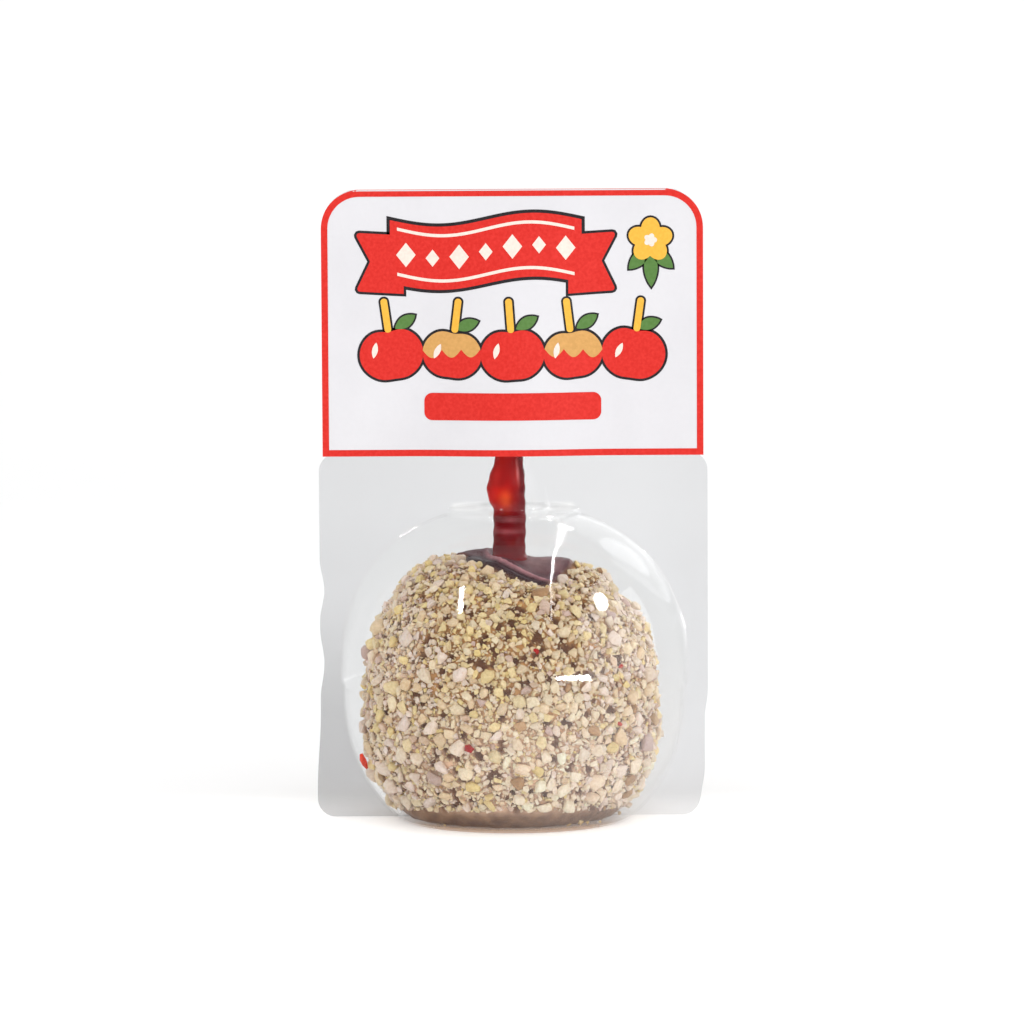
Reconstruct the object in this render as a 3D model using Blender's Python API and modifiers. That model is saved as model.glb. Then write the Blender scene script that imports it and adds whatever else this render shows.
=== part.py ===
"""A nut-coated candy apple on a stick, sealed upright in a clear two-part pack under a header card.

Metres, +Z up. The front faces -Y, and the origin is on the floor under the middle of the pack.
Each piece is one closed solid and stays GAP clear of the pieces that it touches.
"""

import math

import bmesh
import bpy
from mathutils import Matrix

# Driving dimensions
PACK_WIDTH = 0.0863  # the clear sheet, edge to edge
PACK_HEIGHT = 0.1400  # from the floor to the header card's fold
BUBBLE_RADIUS = 0.0387  # the clear bubble at its widest, and half the pack's depth
CARD_WIDTH = 0.0845
CARD_HEIGHT = 0.0591
APPLE_RADIUS = 0.0340  # the coated apple at its widest
APPLE_TOP = 0.0598
STICK_RADIUS = 0.0034  # with its coat of candy
STICK_LENGTH = 0.0860
OFF_CENTRE = -0.0009  # the apple and its stick stand a little to the left in the pack
SHEET = 0.0004  # thickness of the clear plastic
CARD = 0.0004  # thickness of the card
GAP = 0.0003  # between pieces that touch

# Clear pack
WAIST_HEIGHT = 0.0302  # where the bubble is widest
BUBBLE_RISE = 0.0394  # from the waist to where the dome would close, without its neck
BUBBLE_DROP = 0.0376  # from the waist to where the cup would close, without its flat base
BUBBLE_POWER = 2.35  # of the superellipse that dome and cup follow
WAIST_STEP = 0.0005  # the dome stands this far proud of the cup
DOME_POINTS = 9
CUP_POINTS = 9
NECK_RADIUS = 0.0145
NECK_TOP = 0.0691
NECK_ROUNDING = 0.0010
CONE_RADIUS = 0.0082  # where the stick leaves the neck
CHANNEL_RADIUS = 0.0054  # round the stick, under the card
CONE_TOP = 0.0800
SHOULDER_HEIGHT = 0.0815  # the sheet is full width up to here
TAB_WIDTH = 0.0764  # of the sheet above its shoulders, hidden in the card
TAB_TOP = 0.0980
SHEET_CORNER = 0.0040
TAB_CORNER = 0.0030
TAB_INNER_CORNER = 0.0008
TURN_STEPS = 40

# Header card
CARD_BOTTOM = PACK_HEIGHT - CARD_HEIGHT
CARD_CORNER = 0.0085
FOLD_RADIUS = GAP / 2 + SHEET + GAP + CARD / 2  # to the middle of the card's thickness
FOLD_HEIGHT = PACK_HEIGHT - CARD / 2 - FOLD_RADIUS
BOW_DEPTH = CHANNEL_RADIUS + GAP + CARD / 2 - FOLD_RADIUS  # the panels bow out over the stick
BOW_HALF_WIDTH = 0.0240
PANEL_ROWS = 10
FOLD_ROWS = 6
CARD_COLUMNS = 16
TRIM = 0.0020  # the blank is cut this much too large, then trimmed to its outline

# Apple and stick
APPLE_BOTTOM = SHEET + GAP
APPLE_WAIST = 0.0220  # where it is widest
APPLE_DROP = 0.0257  # from there to where it would close, without its flat foot
SHOULDER_POWER = 2.75  # of the superellipse above the waist
FOOT_POWER = 2.5  # and of the one below it
DISH_DEPTH = 0.0016  # the candy round the stick lies in a shallow dish
DISH_RADIUS = 0.0105
HUMP_HEIGHT = 0.0006  # the shoulders rise to the left and right of the stick
HUMP_RADIUS = 0.0190
HUMP_SPREAD = 0.0100
LEAN = 0.0007  # the left shoulder is higher than the right one
VALLEY_DEPTH = 0.0032  # the rim of the dish is low towards the front
VALLEY_RADIUS = 0.0145
VALLEY_SPREAD = 0.0120
VALLEY_HEADING = math.radians(-72)
VALLEY_ANGLE = math.radians(80)
DENT_DEPTH = 0.0030  # the right shoulder is dented
DENT_RADIUS = 0.0258
DENT_SPREAD = 0.0058
DENT_HEADING = math.radians(-4)
DENT_ANGLE = math.radians(50)
LOBES = 5
LOBE_SHARE = 0.008  # the lobes round the apple swell and shrink its radius by this share
STICK_TOP = 0.1110
BORE_BOTTOM = STICK_TOP - STICK_LENGTH - GAP
DRIP_HEIGHT = 0.0722  # the middle of a thick drip of candy on the stick
DRIP_REACH = 0.0064  # how far it runs up and down the stick
DRIP_DEPTH = 0.0022
DRIP_HEADING = math.radians(212)  # it hangs on the stick's left, towards the front

ARC_STEPS = 6
LARGE = 0.2  # larger than the pack


def clear_scene():
    for item in list(bpy.data.objects):
        bpy.data.objects.remove(item)


def new_collection(name):
    collection = bpy.data.collections.new(name)
    bpy.context.scene.collection.children.link(collection)
    return collection


def new_material(name, colour, roughness, transmission=0.0):
    material = bpy.data.materials.new(name)
    material.use_nodes = True
    shader = material.node_tree.nodes["Principled BSDF"]
    shader.inputs["Base Color"].default_value = (*colour, 1.0)
    shader.inputs["Roughness"].default_value = roughness
    shader.inputs["Metallic"].default_value = 0.0
    shader.inputs["Transmission Weight"].default_value = transmission
    return material


def add_object(name, mesh, collection, material=None):
    item = bpy.data.objects.new(name, mesh)
    collection.objects.link(item)
    if material is not None:
        mesh.materials.clear()
        mesh.materials.append(material)
    return item


def add_cutter(name, mesh, cutters):
    cutter = add_object(name, mesh, cutters)
    cutter.hide_render = True
    cutter.display_type = "WIRE"
    return cutter


def mesh_of(name, shape):
    """A mesh that holds a bmesh's shape; the bmesh is freed."""
    mesh = bpy.data.meshes.new(name)
    shape.to_mesh(mesh)
    shape.free()
    return mesh


def boolean(item, operation, other):
    modifier = item.modifiers.new(operation.lower(), "BOOLEAN")
    modifier.operation = operation
    modifier.solver = "EXACT"
    modifier.object = other


def evaluated_mesh(item):
    """A new mesh of the object as its modifiers leave it, with its doubled points welded."""
    graph = bpy.context.evaluated_depsgraph_get()
    mesh = bpy.data.meshes.new_from_object(item.evaluated_get(graph))
    shape = bmesh.new()
    shape.from_mesh(mesh)
    bmesh.ops.remove_doubles(shape, verts=shape.verts, dist=1e-6)
    shape.to_mesh(mesh)
    shape.free()
    return mesh


def smooth(item, angle=30):
    item.data.shade_smooth()
    item.data.set_sharp_from_angle(angle=math.radians(angle))


def rounded_outline(corners):
    """Points round a closed outline, whose corners are (x, z, rounding radius)."""
    points = []
    for index, (x, z, radius) in enumerate(corners):
        before = corners[index - 1]
        after = corners[(index + 1) % len(corners)]
        into = math.atan2(z - before[1], x - before[0])
        out = math.atan2(after[1] - z, after[0] - x)
        turn = math.remainder(out - into, math.tau)
        reach = radius * math.tan(abs(turn) / 2)
        side = math.copysign(math.pi / 2, turn)
        start_x = x - reach * math.cos(into)
        start_z = z - reach * math.sin(into)
        centre_x = start_x + radius * math.cos(into + side)
        centre_z = start_z + radius * math.sin(into + side)
        for step in range(ARC_STEPS + 1):
            angle = into - side + turn * step / ARC_STEPS
            points.append(
                (centre_x + radius * math.cos(angle), centre_z + radius * math.sin(angle))
            )
    return points


def mirrored_corners(right_side):
    """The corners of the right half, bottom to top, and their mirror images, top to bottom."""
    return right_side + [(-x, z, radius) for x, z, radius in reversed(right_side)]


def prism_mesh(name, outline, low_y, high_y):
    """A flat outline in the XZ plane, given thickness from low_y to high_y."""
    curve = bpy.data.curves.new(name, "CURVE")
    curve.dimensions = "2D"
    curve.fill_mode = "BOTH"
    curve.extrude = (high_y - low_y) / 2
    spline = curve.splines.new("POLY")
    spline.points.add(len(outline) - 1)
    for point, (x, z) in zip(spline.points, outline):
        point.co = (x, z, 0.0, 1.0)
    spline.use_cyclic_u = True
    flat = add_object(name, curve, bpy.context.scene.collection)
    mesh = evaluated_mesh(flat)
    bpy.data.objects.remove(flat)
    middle = Matrix.Translation((0.0, (low_y + high_y) / 2, 0.0))
    mesh.transform(middle @ Matrix.Rotation(math.pi / 2, 4, "X"))
    return mesh


def turned_cutter(name, profile, cutters):
    """A solid turned about the Z axis from a profile that runs from its top to its bottom."""
    shape = bmesh.new()
    points = [shape.verts.new((radius, 0.0, height)) for radius, height in profile]
    for upper, lower in zip(points, points[1:]):
        shape.edges.new((upper, lower))
    turned = add_cutter(name, mesh_of(name, shape), cutters)
    screw = turned.modifiers.new("turn", "SCREW")
    screw.axis = "Z"
    screw.angle = math.tau
    screw.steps = TURN_STEPS
    screw.render_steps = TURN_STEPS
    screw.use_merge_vertices = True
    screw.merge_threshold = 0.00001
    return turned


def bubble_radius(height, inset):
    """Radius of the dome or the cup at a height, inset from the outer face."""
    above = height - WAIST_HEIGHT
    widest = BUBBLE_RADIUS if above >= 0 else BUBBLE_RADIUS - WAIST_STEP
    reach = BUBBLE_RISE if above >= 0 else BUBBLE_DROP
    share = min(abs(above) / (reach - inset), 1.0)
    return (widest - inset) * (1 - share**BUBBLE_POWER) ** (1 / BUBBLE_POWER)


def bubble_profile(inset, top):
    """Radii and heights down the bubble's side: stick channel, neck, dome and cup."""
    neck_radius = NECK_RADIUS - inset
    neck_top = NECK_TOP - inset
    cup_bottom = inset
    dome_top = NECK_TOP - 0.0018
    profile = [
        (0.0, top),
        (CHANNEL_RADIUS - inset, top),
        (CHANNEL_RADIUS - inset, CONE_TOP),
        (CONE_RADIUS - inset, neck_top + NECK_ROUNDING),
        (CONE_RADIUS - inset + NECK_ROUNDING / 2, neck_top),
        (neck_radius - NECK_ROUNDING, neck_top),
        (neck_radius, neck_top - NECK_ROUNDING),
    ]
    for step in range(DOME_POINTS + 1):
        angle = math.pi / 2 * (step + 1) / (DOME_POINTS + 1)
        height = dome_top - (dome_top - WAIST_HEIGHT) * (1 - math.cos(angle))
        profile.append((bubble_radius(height, inset), height))
    for step in range(CUP_POINTS + 1):
        angle = math.pi / 2 * step / CUP_POINTS
        height = WAIST_HEIGHT - WAIST_STEP - (WAIST_HEIGHT - WAIST_STEP - cup_bottom) * math.sin(angle)
        profile.append((bubble_radius(height, inset), height))
    profile.append((0.0, cup_bottom))
    return profile


def make_clear_pack(model, cutters):
    """Two equal halves, each a flat sheet with half of the bubble, open towards each other."""
    clear = new_material("clear_plastic", (0.90, 0.91, 0.92), 0.05, transmission=0.95)
    outside = turned_cutter("bubble_outside", bubble_profile(0.0, TAB_TOP - GAP), cutters)
    inside = turned_cutter("bubble_inside", bubble_profile(SHEET, TAB_TOP + LARGE), cutters)
    behind = bmesh.new()
    bmesh.ops.create_cube(behind, size=LARGE)
    bmesh.ops.translate(behind, verts=behind.verts, vec=(0.0, (LARGE - GAP) / 2, LARGE / 4))
    other_half = add_cutter("other_half", mesh_of("other_half", behind), cutters)

    right_side = [
        (PACK_WIDTH / 2, 0.0, SHEET_CORNER),
        (PACK_WIDTH / 2, SHOULDER_HEIGHT, SHEET_CORNER),
        (TAB_WIDTH / 2, SHOULDER_HEIGHT, TAB_INNER_CORNER),
        (TAB_WIDTH / 2, TAB_TOP, TAB_CORNER),
    ]
    outline = rounded_outline(mirrored_corners(right_side))
    sheet = prism_mesh("sheet", outline, -GAP / 2 - SHEET, -GAP / 2)
    half = add_object("half_pack", sheet, model)
    boolean(half, "UNION", outside)
    boolean(half, "DIFFERENCE", inside)
    boolean(half, "DIFFERENCE", other_half)
    shell = evaluated_mesh(half)
    bpy.data.objects.remove(half)

    for name, heading in (("front_blister", 0.0), ("back_blister", math.pi)):
        blister = add_object(name, shell, model, clear)
        blister.rotation_euler.z = heading
        smooth(blister)


def card_offset(x, height):
    """Distance from the sheet's plane to the middle of a card panel, which bows over the stick."""
    across = min(abs(x) / BOW_HALF_WIDTH, 1.0)
    up = (height - CARD_BOTTOM) / (FOLD_HEIGHT - CARD_BOTTOM)
    return FOLD_RADIUS + BOW_DEPTH * math.cos(math.pi / 2 * across) ** 2 * (1 - max(up, 0.0) ** 3)


def card_point(x, row):
    """A point of the folded card. Rows run up the front panel, over the fold and down the back."""
    rows = 2 * PANEL_ROWS + FOLD_ROWS
    if PANEL_ROWS < row < PANEL_ROWS + FOLD_ROWS:
        angle = math.pi * (row - PANEL_ROWS) / FOLD_ROWS
        return x, -FOLD_RADIUS * math.cos(angle), FOLD_HEIGHT + FOLD_RADIUS * math.sin(angle)
    up = min(row, rows - row) / PANEL_ROWS
    bottom = CARD_BOTTOM - TRIM
    height = bottom + (FOLD_HEIGHT - bottom) * up
    side = -1 if row <= PANEL_ROWS else 1
    return x, side * card_offset(x, height), height


def make_header_card(model, cutters):
    """A card folded over the top of the pack, with two rounded corners."""
    card = new_material("printed_card", (0.86, 0.85, 0.86), 0.45)
    rows = 2 * PANEL_ROWS + FOLD_ROWS
    blank = bmesh.new()
    bmesh.ops.create_grid(blank, x_segments=CARD_COLUMNS, y_segments=rows, size=0.5)
    for vert in blank.verts:
        row = round((vert.co.y + 0.5) * rows)
        vert.co = card_point(vert.co.x * (CARD_WIDTH + 2 * TRIM), row)
    header = add_object("header_card", mesh_of("header_card", blank), model, card)
    thick = header.modifiers.new("thickness", "SOLIDIFY")
    thick.thickness = CARD
    thick.offset = 0.0

    right_side = [
        (CARD_WIDTH / 2, CARD_BOTTOM, TAB_INNER_CORNER),
        (CARD_WIDTH / 2, PACK_HEIGHT + GAP / 2, CARD_CORNER),
    ]
    outline = rounded_outline(mirrored_corners(right_side))
    trim = add_cutter("card_outline", prism_mesh("card_outline", outline, -LARGE / 4, LARGE / 4), cutters)
    boolean(header, "INTERSECT", trim)
    smooth(header)


def bump(distance, reach):
    """1 at the middle, falling smoothly to 0 at reach."""
    return math.cos(math.pi / 2 * min(abs(distance) / reach, 1.0)) ** 2


def apple_point(direction):
    """The coated apple's surface for a direction from its waist: shoulders, dish and flat foot."""
    radial = math.hypot(direction.x, direction.y)
    upper = direction.z >= 0
    power = SHOULDER_POWER if upper else FOOT_POWER
    reach = APPLE_TOP - APPLE_WAIST if upper else APPLE_DROP
    radius = APPLE_RADIUS * radial ** (2 / power)
    height = APPLE_WAIST + math.copysign(reach * abs(direction.z) ** (2 / power), direction.z)
    heading = math.atan2(direction.y, direction.x)
    if upper:
        shoulder = bump(radius - HUMP_RADIUS, HUMP_SPREAD)
        height += (HUMP_HEIGHT * math.cos(2 * heading) - LEAN * math.cos(heading)) * shoulder
        height -= DISH_DEPTH * math.exp(-((radius / DISH_RADIUS) ** 2))
        from_valley = math.remainder(heading - VALLEY_HEADING, math.tau)
        valley = bump(from_valley, VALLEY_ANGLE) * bump(radius - VALLEY_RADIUS, VALLEY_SPREAD)
        height -= VALLEY_DEPTH * valley
        from_dent = math.remainder(heading - DENT_HEADING, math.tau)
        dent = bump(from_dent, DENT_ANGLE) * bump(radius - DENT_RADIUS, DENT_SPREAD)
        height -= DENT_DEPTH * dent
    radius *= 1 + LOBE_SHARE * (math.cos(LOBES * heading) - 1)
    scale = radius / radial if radial > 1e-6 else 0.0
    return direction.x * scale, direction.y * scale, max(height, APPLE_BOTTOM)


def make_apple(model, cutters):
    """The coated apple, on its flat foot, bored for the stick."""
    coating = new_material("nut_coating", (0.62, 0.48, 0.33), 0.7)
    shape = bmesh.new()
    bmesh.ops.create_uvsphere(shape, u_segments=36, v_segments=24, radius=1.0)
    for vert in shape.verts:
        vert.co = apple_point(vert.co)
    apple = add_object("coated_apple", mesh_of("coated_apple", shape), model, coating)
    apple.location.x = OFF_CENTRE

    drill = bmesh.new()
    depth = LARGE / 2
    bmesh.ops.create_cone(
        drill,
        cap_ends=True,
        segments=16,
        radius1=STICK_RADIUS + GAP,
        radius2=STICK_RADIUS + GAP,
        depth=depth,
    )
    bore = add_cutter("stick_bore", mesh_of("stick_bore", drill), cutters)
    bore.location = (OFF_CENTRE, 0.0, BORE_BOTTOM + depth / 2)
    boolean(apple, "DIFFERENCE", bore)
    smooth(apple)


def make_stick(model):
    """A round stick in its coat of candy, with one thick drip above the neck."""
    candy = new_material("red_candy", (0.20, 0.010, 0.012), 0.12)
    rings = 34
    shape = bmesh.new()
    bmesh.ops.create_uvsphere(shape, u_segments=16, v_segments=rings, radius=1.0)
    for vert in shape.verts:
        ring = math.acos(max(-1.0, min(1.0, vert.co.z))) / math.pi * rings
        down = min(max((ring - 1) / (rings - 2), 0.0), 1.0)
        height = STICK_TOP - STICK_LENGTH * down
        heading = math.atan2(vert.co.y, vert.co.x)
        turned_away = math.remainder(heading - DRIP_HEADING, math.tau)
        drip = DRIP_DEPTH * bump(height - DRIP_HEIGHT, DRIP_REACH) * bump(turned_away, 1.9)
        radius = STICK_RADIUS + drip if 0.5 < ring < rings - 0.5 else 0.0
        vert.co = (radius * math.cos(heading), radius * math.sin(heading), height)
    stick = add_object("stick", mesh_of("stick", shape), model, candy)
    stick.location.x = OFF_CENTRE
    smooth(stick)


def main():
    clear_scene()
    model = new_collection("packed_candy_apple")
    cutters = new_collection("cutters")
    make_clear_pack(model, cutters)
    make_header_card(model, cutters)
    make_apple(model, cutters)
    make_stick(model)


main()
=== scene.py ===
"""The looks of a nut-coated candy apple, sealed in a clear two-part pack under a header card.

Metres, +Z up, and the front faces -Y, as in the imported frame. Shapes that the CAD model also has
are worked out again here, only finer. Most of their sizes are the same.
"""

import itertools
import math

import bmesh
import bpy
import numpy as np
from mathutils import Matrix, Vector, geometry, kdtree, noise


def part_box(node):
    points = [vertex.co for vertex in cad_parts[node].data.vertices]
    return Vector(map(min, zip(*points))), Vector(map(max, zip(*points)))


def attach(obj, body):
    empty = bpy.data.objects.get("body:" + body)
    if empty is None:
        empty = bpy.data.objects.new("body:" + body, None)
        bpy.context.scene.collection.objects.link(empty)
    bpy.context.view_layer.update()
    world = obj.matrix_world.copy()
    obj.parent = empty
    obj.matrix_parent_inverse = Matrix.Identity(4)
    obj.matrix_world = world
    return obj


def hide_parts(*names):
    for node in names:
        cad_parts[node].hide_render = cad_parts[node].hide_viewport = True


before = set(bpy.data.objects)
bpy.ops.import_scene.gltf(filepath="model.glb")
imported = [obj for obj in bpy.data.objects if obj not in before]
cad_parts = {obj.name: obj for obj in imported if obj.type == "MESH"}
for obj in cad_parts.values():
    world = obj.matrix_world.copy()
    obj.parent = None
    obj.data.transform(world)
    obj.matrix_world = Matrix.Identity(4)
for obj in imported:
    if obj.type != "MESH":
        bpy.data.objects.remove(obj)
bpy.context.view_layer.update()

# Places taken from the frame
PACK_LOW, PACK_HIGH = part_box("front_blister")
CARD_LOW, CARD_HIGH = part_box("header_card")
STICK_LOW, STICK_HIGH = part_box("stick")

# Clear pack
SHEET = 0.0004
GAP = 0.0003
SHEET_FACE = GAP / 2 + SHEET  # the outer face of each half's flat sheet, from the middle
BUBBLE_RADIUS = -PACK_LOW.y
WAIST_HEIGHT = 0.0302
BUBBLE_RISE = 0.0394
BUBBLE_DROP = 0.0376
BUBBLE_POWER = 2.35
WAIST_STEP = 0.0005
NECK_RADIUS = 0.0145
NECK_TOP = 0.0691
CONE_RADIUS = 0.0082
CHANNEL_RADIUS = 0.0054
CONE_TOP = 0.0800
SHOULDER_HEIGHT = 0.0815
TAB_WIDTH = 0.0764
SHEET_CORNER = 0.0040
TAB_CORNER = 0.0030
FILLET = 0.0007  # where the bubble meets the flat sheet
WAVE_DEPTH = 0.0007

# Header card
CARD = 0.0004
CARD_CORNER = 0.0085
CARD_WIDTH = CARD_HIGH.x - CARD_LOW.x
CARD_BOTTOM = CARD_LOW.z
CARD_TOP = CARD_HIGH.z
FOLD_RADIUS = GAP / 2 + SHEET + GAP + CARD / 2
FOLD_HEIGHT = CARD_TOP - CARD / 2 - FOLD_RADIUS
BOW_DEPTH = CHANNEL_RADIUS + GAP + CARD / 2 - FOLD_RADIUS
BOW_HALF_WIDTH = 0.0240
INK = 0.00003  # thickness of one layer of print

# Apple, nuts, candy and stick
APPLE_RADIUS = 0.0340
APPLE_TOP = 0.0598
APPLE_BOTTOM = SHEET + GAP
APPLE_WAIST = 0.0220
APPLE_DROP = 0.0257
SHOULDER_POWER = 2.75
FOOT_POWER = 2.5
DISH_DEPTH = 0.0016
DISH_RADIUS = 0.0105
HUMP_HEIGHT = 0.0006
HUMP_RADIUS = 0.0190
HUMP_SPREAD = 0.0100
LEAN = 0.0007
HOLLOWS = (  # round the apple's top: depth, ring radius, half width, heading and half angle
    (0.0035, 0.0130, 0.0120, math.radians(-56), math.radians(68)),  # front right, by the stick
    (0.0015, 0.0130, 0.0120, math.radians(52), math.radians(62)),  # behind the stick
    (-0.0012, 0.0085, 0.0055, math.radians(135), math.radians(62)),  # a raised rim at the back left
    (0.0030, 0.0258, 0.0058, math.radians(-4), math.radians(50)),  # the right shoulder
)
LOBES = 5
LOBE_SHARE = 0.008
NUT_LAYER = 0.0020  # the caramel lies this far under the nuts' outline
RIDGE_X = (-4.9, -5.0, -4.0, -2.0, 1.5, 4.8, 8.0, 12.5)  # mm, along the fold of candy
RIDGE_Y = (6.5, 1.0, -3.6, -6.2, -8.5, -10.0, -11.2, -13.0)
OFF_CENTRE = -0.0009  # the apple and its stick stand a little left of the middle of the pack
LOWER_HALF = (0.014, 0.036)  # heights over which the painted light on the low nuts and caramel fades out
CREASE_HEIGHT = 0.0009  # of the fold of candy in front of the stick
CREASE_WIDTH = 0.0005
TROUGH_DEPTH = 0.0004  # the hollow on its near side
TROUGH_WIDTH = 0.0009
TROUGH_AWAY = 0.0016
COLLAR_HEIGHT = 0.0006  # where the candy rises to the stick
COLLAR_WIDTH = 0.0014
STICK_RADIUS = 0.0036
DRIP_HEIGHT = 0.0733
DRIP_DEPTH = 0.0016
DRIP_DROP = 0.0043
DRIP_RISE = 0.0076
DRIP_HEADING = math.radians(212)

# Tints of the caramel and of the dish of bare candy. Painted light: the caramel between the nuts
# is paler low down and to the sides, and the dish has a painted highlight on the fold's crest, a
# painted shadow on its near side and a painted sheen on its far side.
HOLE, UNDER_NUTS, PAINTED_LIGHT_BETWEEN, DISH, PAINTED_CREST_HIGHLIGHT, SHADOW, PAINTED_SHEEN_FAR_SIDE, FOOT = np.array(
    [
        (0.170, 0.070, 0.030),
        (0.66, 0.38, 0.15),
        (0.88, 0.63, 0.45),
        (0.115, 0.030, 0.042),
        (0.60, 0.30, 0.34),
        (0.034, 0.005, 0.012),
        (0.30, 0.175, 0.185),
        (0.28, 0.162, 0.096),
    ]
)
# Tints of the nuts
CREAM, TAN, PAINTED_LIGHT_PALE, YELLOW, PINK_AND_PAINTED_SHEEN, MAUVE_AND_PAINTED_SHADE, TOASTED = np.array(
    [
        (0.97, 0.82, 0.57),
        (0.88, 0.66, 0.41),
        (1.00, 0.79, 0.60),
        (0.94, 0.73, 0.31),
        (0.95, 0.79, 0.70),
        (0.70, 0.51, 0.46),
        (0.50, 0.27, 0.11),
    ]
)
# Tints of the candy on the stick: the dark thin coat, and painted light and shade: bright red where
# the candy is thick, an orange glow, a darker band, a pale rosy highlight and rosy reflections.
DARK_CANDY_AND_PAINTED_SHADE, PAINTED_LIT_CANDY, PAINTED_GLOW_ORANGE, PAINTED_REFLECTION_ROSY, PAINTED_HIGHLIGHT_ROSY = np.array(
    [
        (0.180, 0.005, 0.009),
        (0.62, 0.006, 0.003),
        (0.95, 0.10, 0.02),
        (0.42, 0.085, 0.10),
        (0.80, 0.26, 0.24),
    ]
)


# ---------------------------------------------------------------- small tools


def bump(distance, reach):
    """1 at the middle, falling smoothly to 0 at reach."""
    share = np.minimum(np.abs(distance) / reach, 1.0)
    return np.cos(np.pi / 2 * share) ** 2


def ramp(value, low, high):
    """0 up to low and 1 from high on, with a smooth rise between."""
    share = np.clip((value - low) / (high - low), 0.0, 1.0)
    return share * share * (3 - 2 * share)


def layered(tints, layers):
    """Colours laid over tints one after another, each with its own share from point to point."""
    for colour, share in layers:
        tints = tints * (1 - share) + colour * share
    return tints


def from_heading(heading, centre):
    """The angle from one heading to another, the short way round."""
    return np.remainder(heading - centre + math.pi, math.tau) - math.pi


def make_mesh(name, points, faces, tints=None):
    """A mesh from points and faces. Faces in an array, all with as many corners, go in quickly."""
    mesh = bpy.data.meshes.new(name)
    points = np.asarray(points, np.float32)
    if isinstance(faces, np.ndarray):
        count, corners = faces.shape
        mesh.vertices.add(len(points))
        mesh.vertices.foreach_set("co", points.ravel())
        mesh.loops.add(count * corners)
        mesh.loops.foreach_set("vertex_index", faces.astype(np.int32).ravel())
        mesh.polygons.add(count)
        mesh.polygons.foreach_set("loop_start", np.arange(count, dtype=np.int32) * corners)
        mesh.update(calc_edges=True)
    else:
        mesh.from_pydata([tuple(p) for p in points.tolist()], [], [tuple(f) for f in faces])
    if tints is not None:
        colours = mesh.color_attributes.new("tint", "FLOAT_COLOR", "POINT")
        filled = np.ones((len(points), 4), np.float32)
        filled[:, :3] = tints
        colours.data.foreach_set("color", filled.ravel())
    return mesh


def add_piece(name, mesh, material, replaces=(), sharp=None):
    """A piece of the object: it rides on the only body and hides the CAD parts that it replaces."""
    piece = bpy.data.objects.new(name, mesh)
    bpy.context.scene.collection.objects.link(piece)
    mesh.materials.clear()
    mesh.materials.append(material)
    if sharp is not None:
        mesh.shade_smooth()
        mesh.set_sharp_from_angle(angle=math.radians(sharp))
    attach(piece, "root")
    for node in replaces:
        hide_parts(node)
    return piece


def weld(mesh, distance=1e-7, closed=True):
    """Joins points that fall together, and turns a closed mesh's faces outwards."""
    shape = bmesh.new()
    shape.from_mesh(mesh)
    bmesh.ops.remove_doubles(shape, verts=shape.verts, dist=distance)
    bmesh.ops.dissolve_degenerate(shape, edges=shape.edges, dist=distance)
    if closed:
        bmesh.ops.recalc_face_normals(shape, faces=shape.faces)
    shape.to_mesh(mesh)
    shape.free()


def thicken(mesh, thickness):
    """Gives an open surface an inner face and a rim. It stays above the floor."""
    outer = bmesh.new()
    outer.from_mesh(mesh)
    outer.verts.ensure_lookup_table()
    count = len(outer.verts)
    points = [v.co.copy() for v in outer.verts]
    faces = [tuple(v.index for v in f.verts) for f in outer.faces]
    rim = [
        (edge.link_loops[0].vert.index, edge.link_loops[0].link_loop_next.vert.index)
        for edge in outer.edges
        if len(edge.link_faces) == 1
    ]
    for vert in outer.verts:
        inner = vert.co - vert.normal * thickness
        inner.z = max(inner.z, 0.0)
        points.append(inner)
    outer.free()
    inner_faces = [tuple(count + i for i in reversed(face)) for face in faces]
    rim_faces = [(b, a, count + a, count + b) for a, b in rim]
    mesh.clear_geometry()
    mesh.from_pydata([tuple(p) for p in points], [], faces + inner_faces + rim_faces)


def solidify(piece, thickness, offset):
    thick = piece.modifiers.new("thickness", "SOLIDIFY")
    thick.thickness = thickness
    thick.offset = offset


def grid_faces(rows, columns, closed=False, first=0):
    """Quads of a grid of points stored row by row. closed joins the last column to the first."""
    faces = []
    for row in range(rows - 1):
        for column in range(columns if closed else columns - 1):
            right = (column + 1) % columns
            here = first + row * columns
            above = here + columns
            faces.append((here + column, here + right, above + right, above + column))
    return faces


def rounded_path(corners, closed=True, steps=6):
    """Points along a path in a plane, whose corners are (across, up, rounding radius)."""
    points = []
    count = len(corners)
    for index, (x, z, radius) in enumerate(corners):
        if radius == 0.0 or (not closed and index in (0, count - 1)):
            points.append((x, z))
            continue
        before = corners[index - 1]
        after = corners[(index + 1) % count]
        into = math.atan2(z - before[1], x - before[0])
        out = math.atan2(after[1] - z, after[0] - x)
        turn = math.remainder(out - into, math.tau)
        reach = radius * math.tan(abs(turn) / 2)
        side = math.copysign(math.pi / 2, turn)
        centre_x = x - reach * math.cos(into) + radius * math.cos(into + side)
        centre_z = z - reach * math.sin(into) + radius * math.sin(into + side)
        for step in range(steps + 1):
            angle = into - side + turn * step / steps
            points.append(
                (centre_x + radius * math.cos(angle), centre_z + radius * math.sin(angle))
            )
    return points


def along(path, shares):
    """Points at shares, 0 to 1, of a path's length."""
    path = np.array(path)
    steps = np.hypot(*np.diff(path, axis=0).T)
    length = np.concatenate(([0.0], np.cumsum(steps)))
    places = np.asarray(shares) * length[-1]
    return np.stack([np.interp(places, length, path[:, k]) for k in (0, 1)], axis=1)


# ---------------------------------------------------------------- materials


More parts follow.
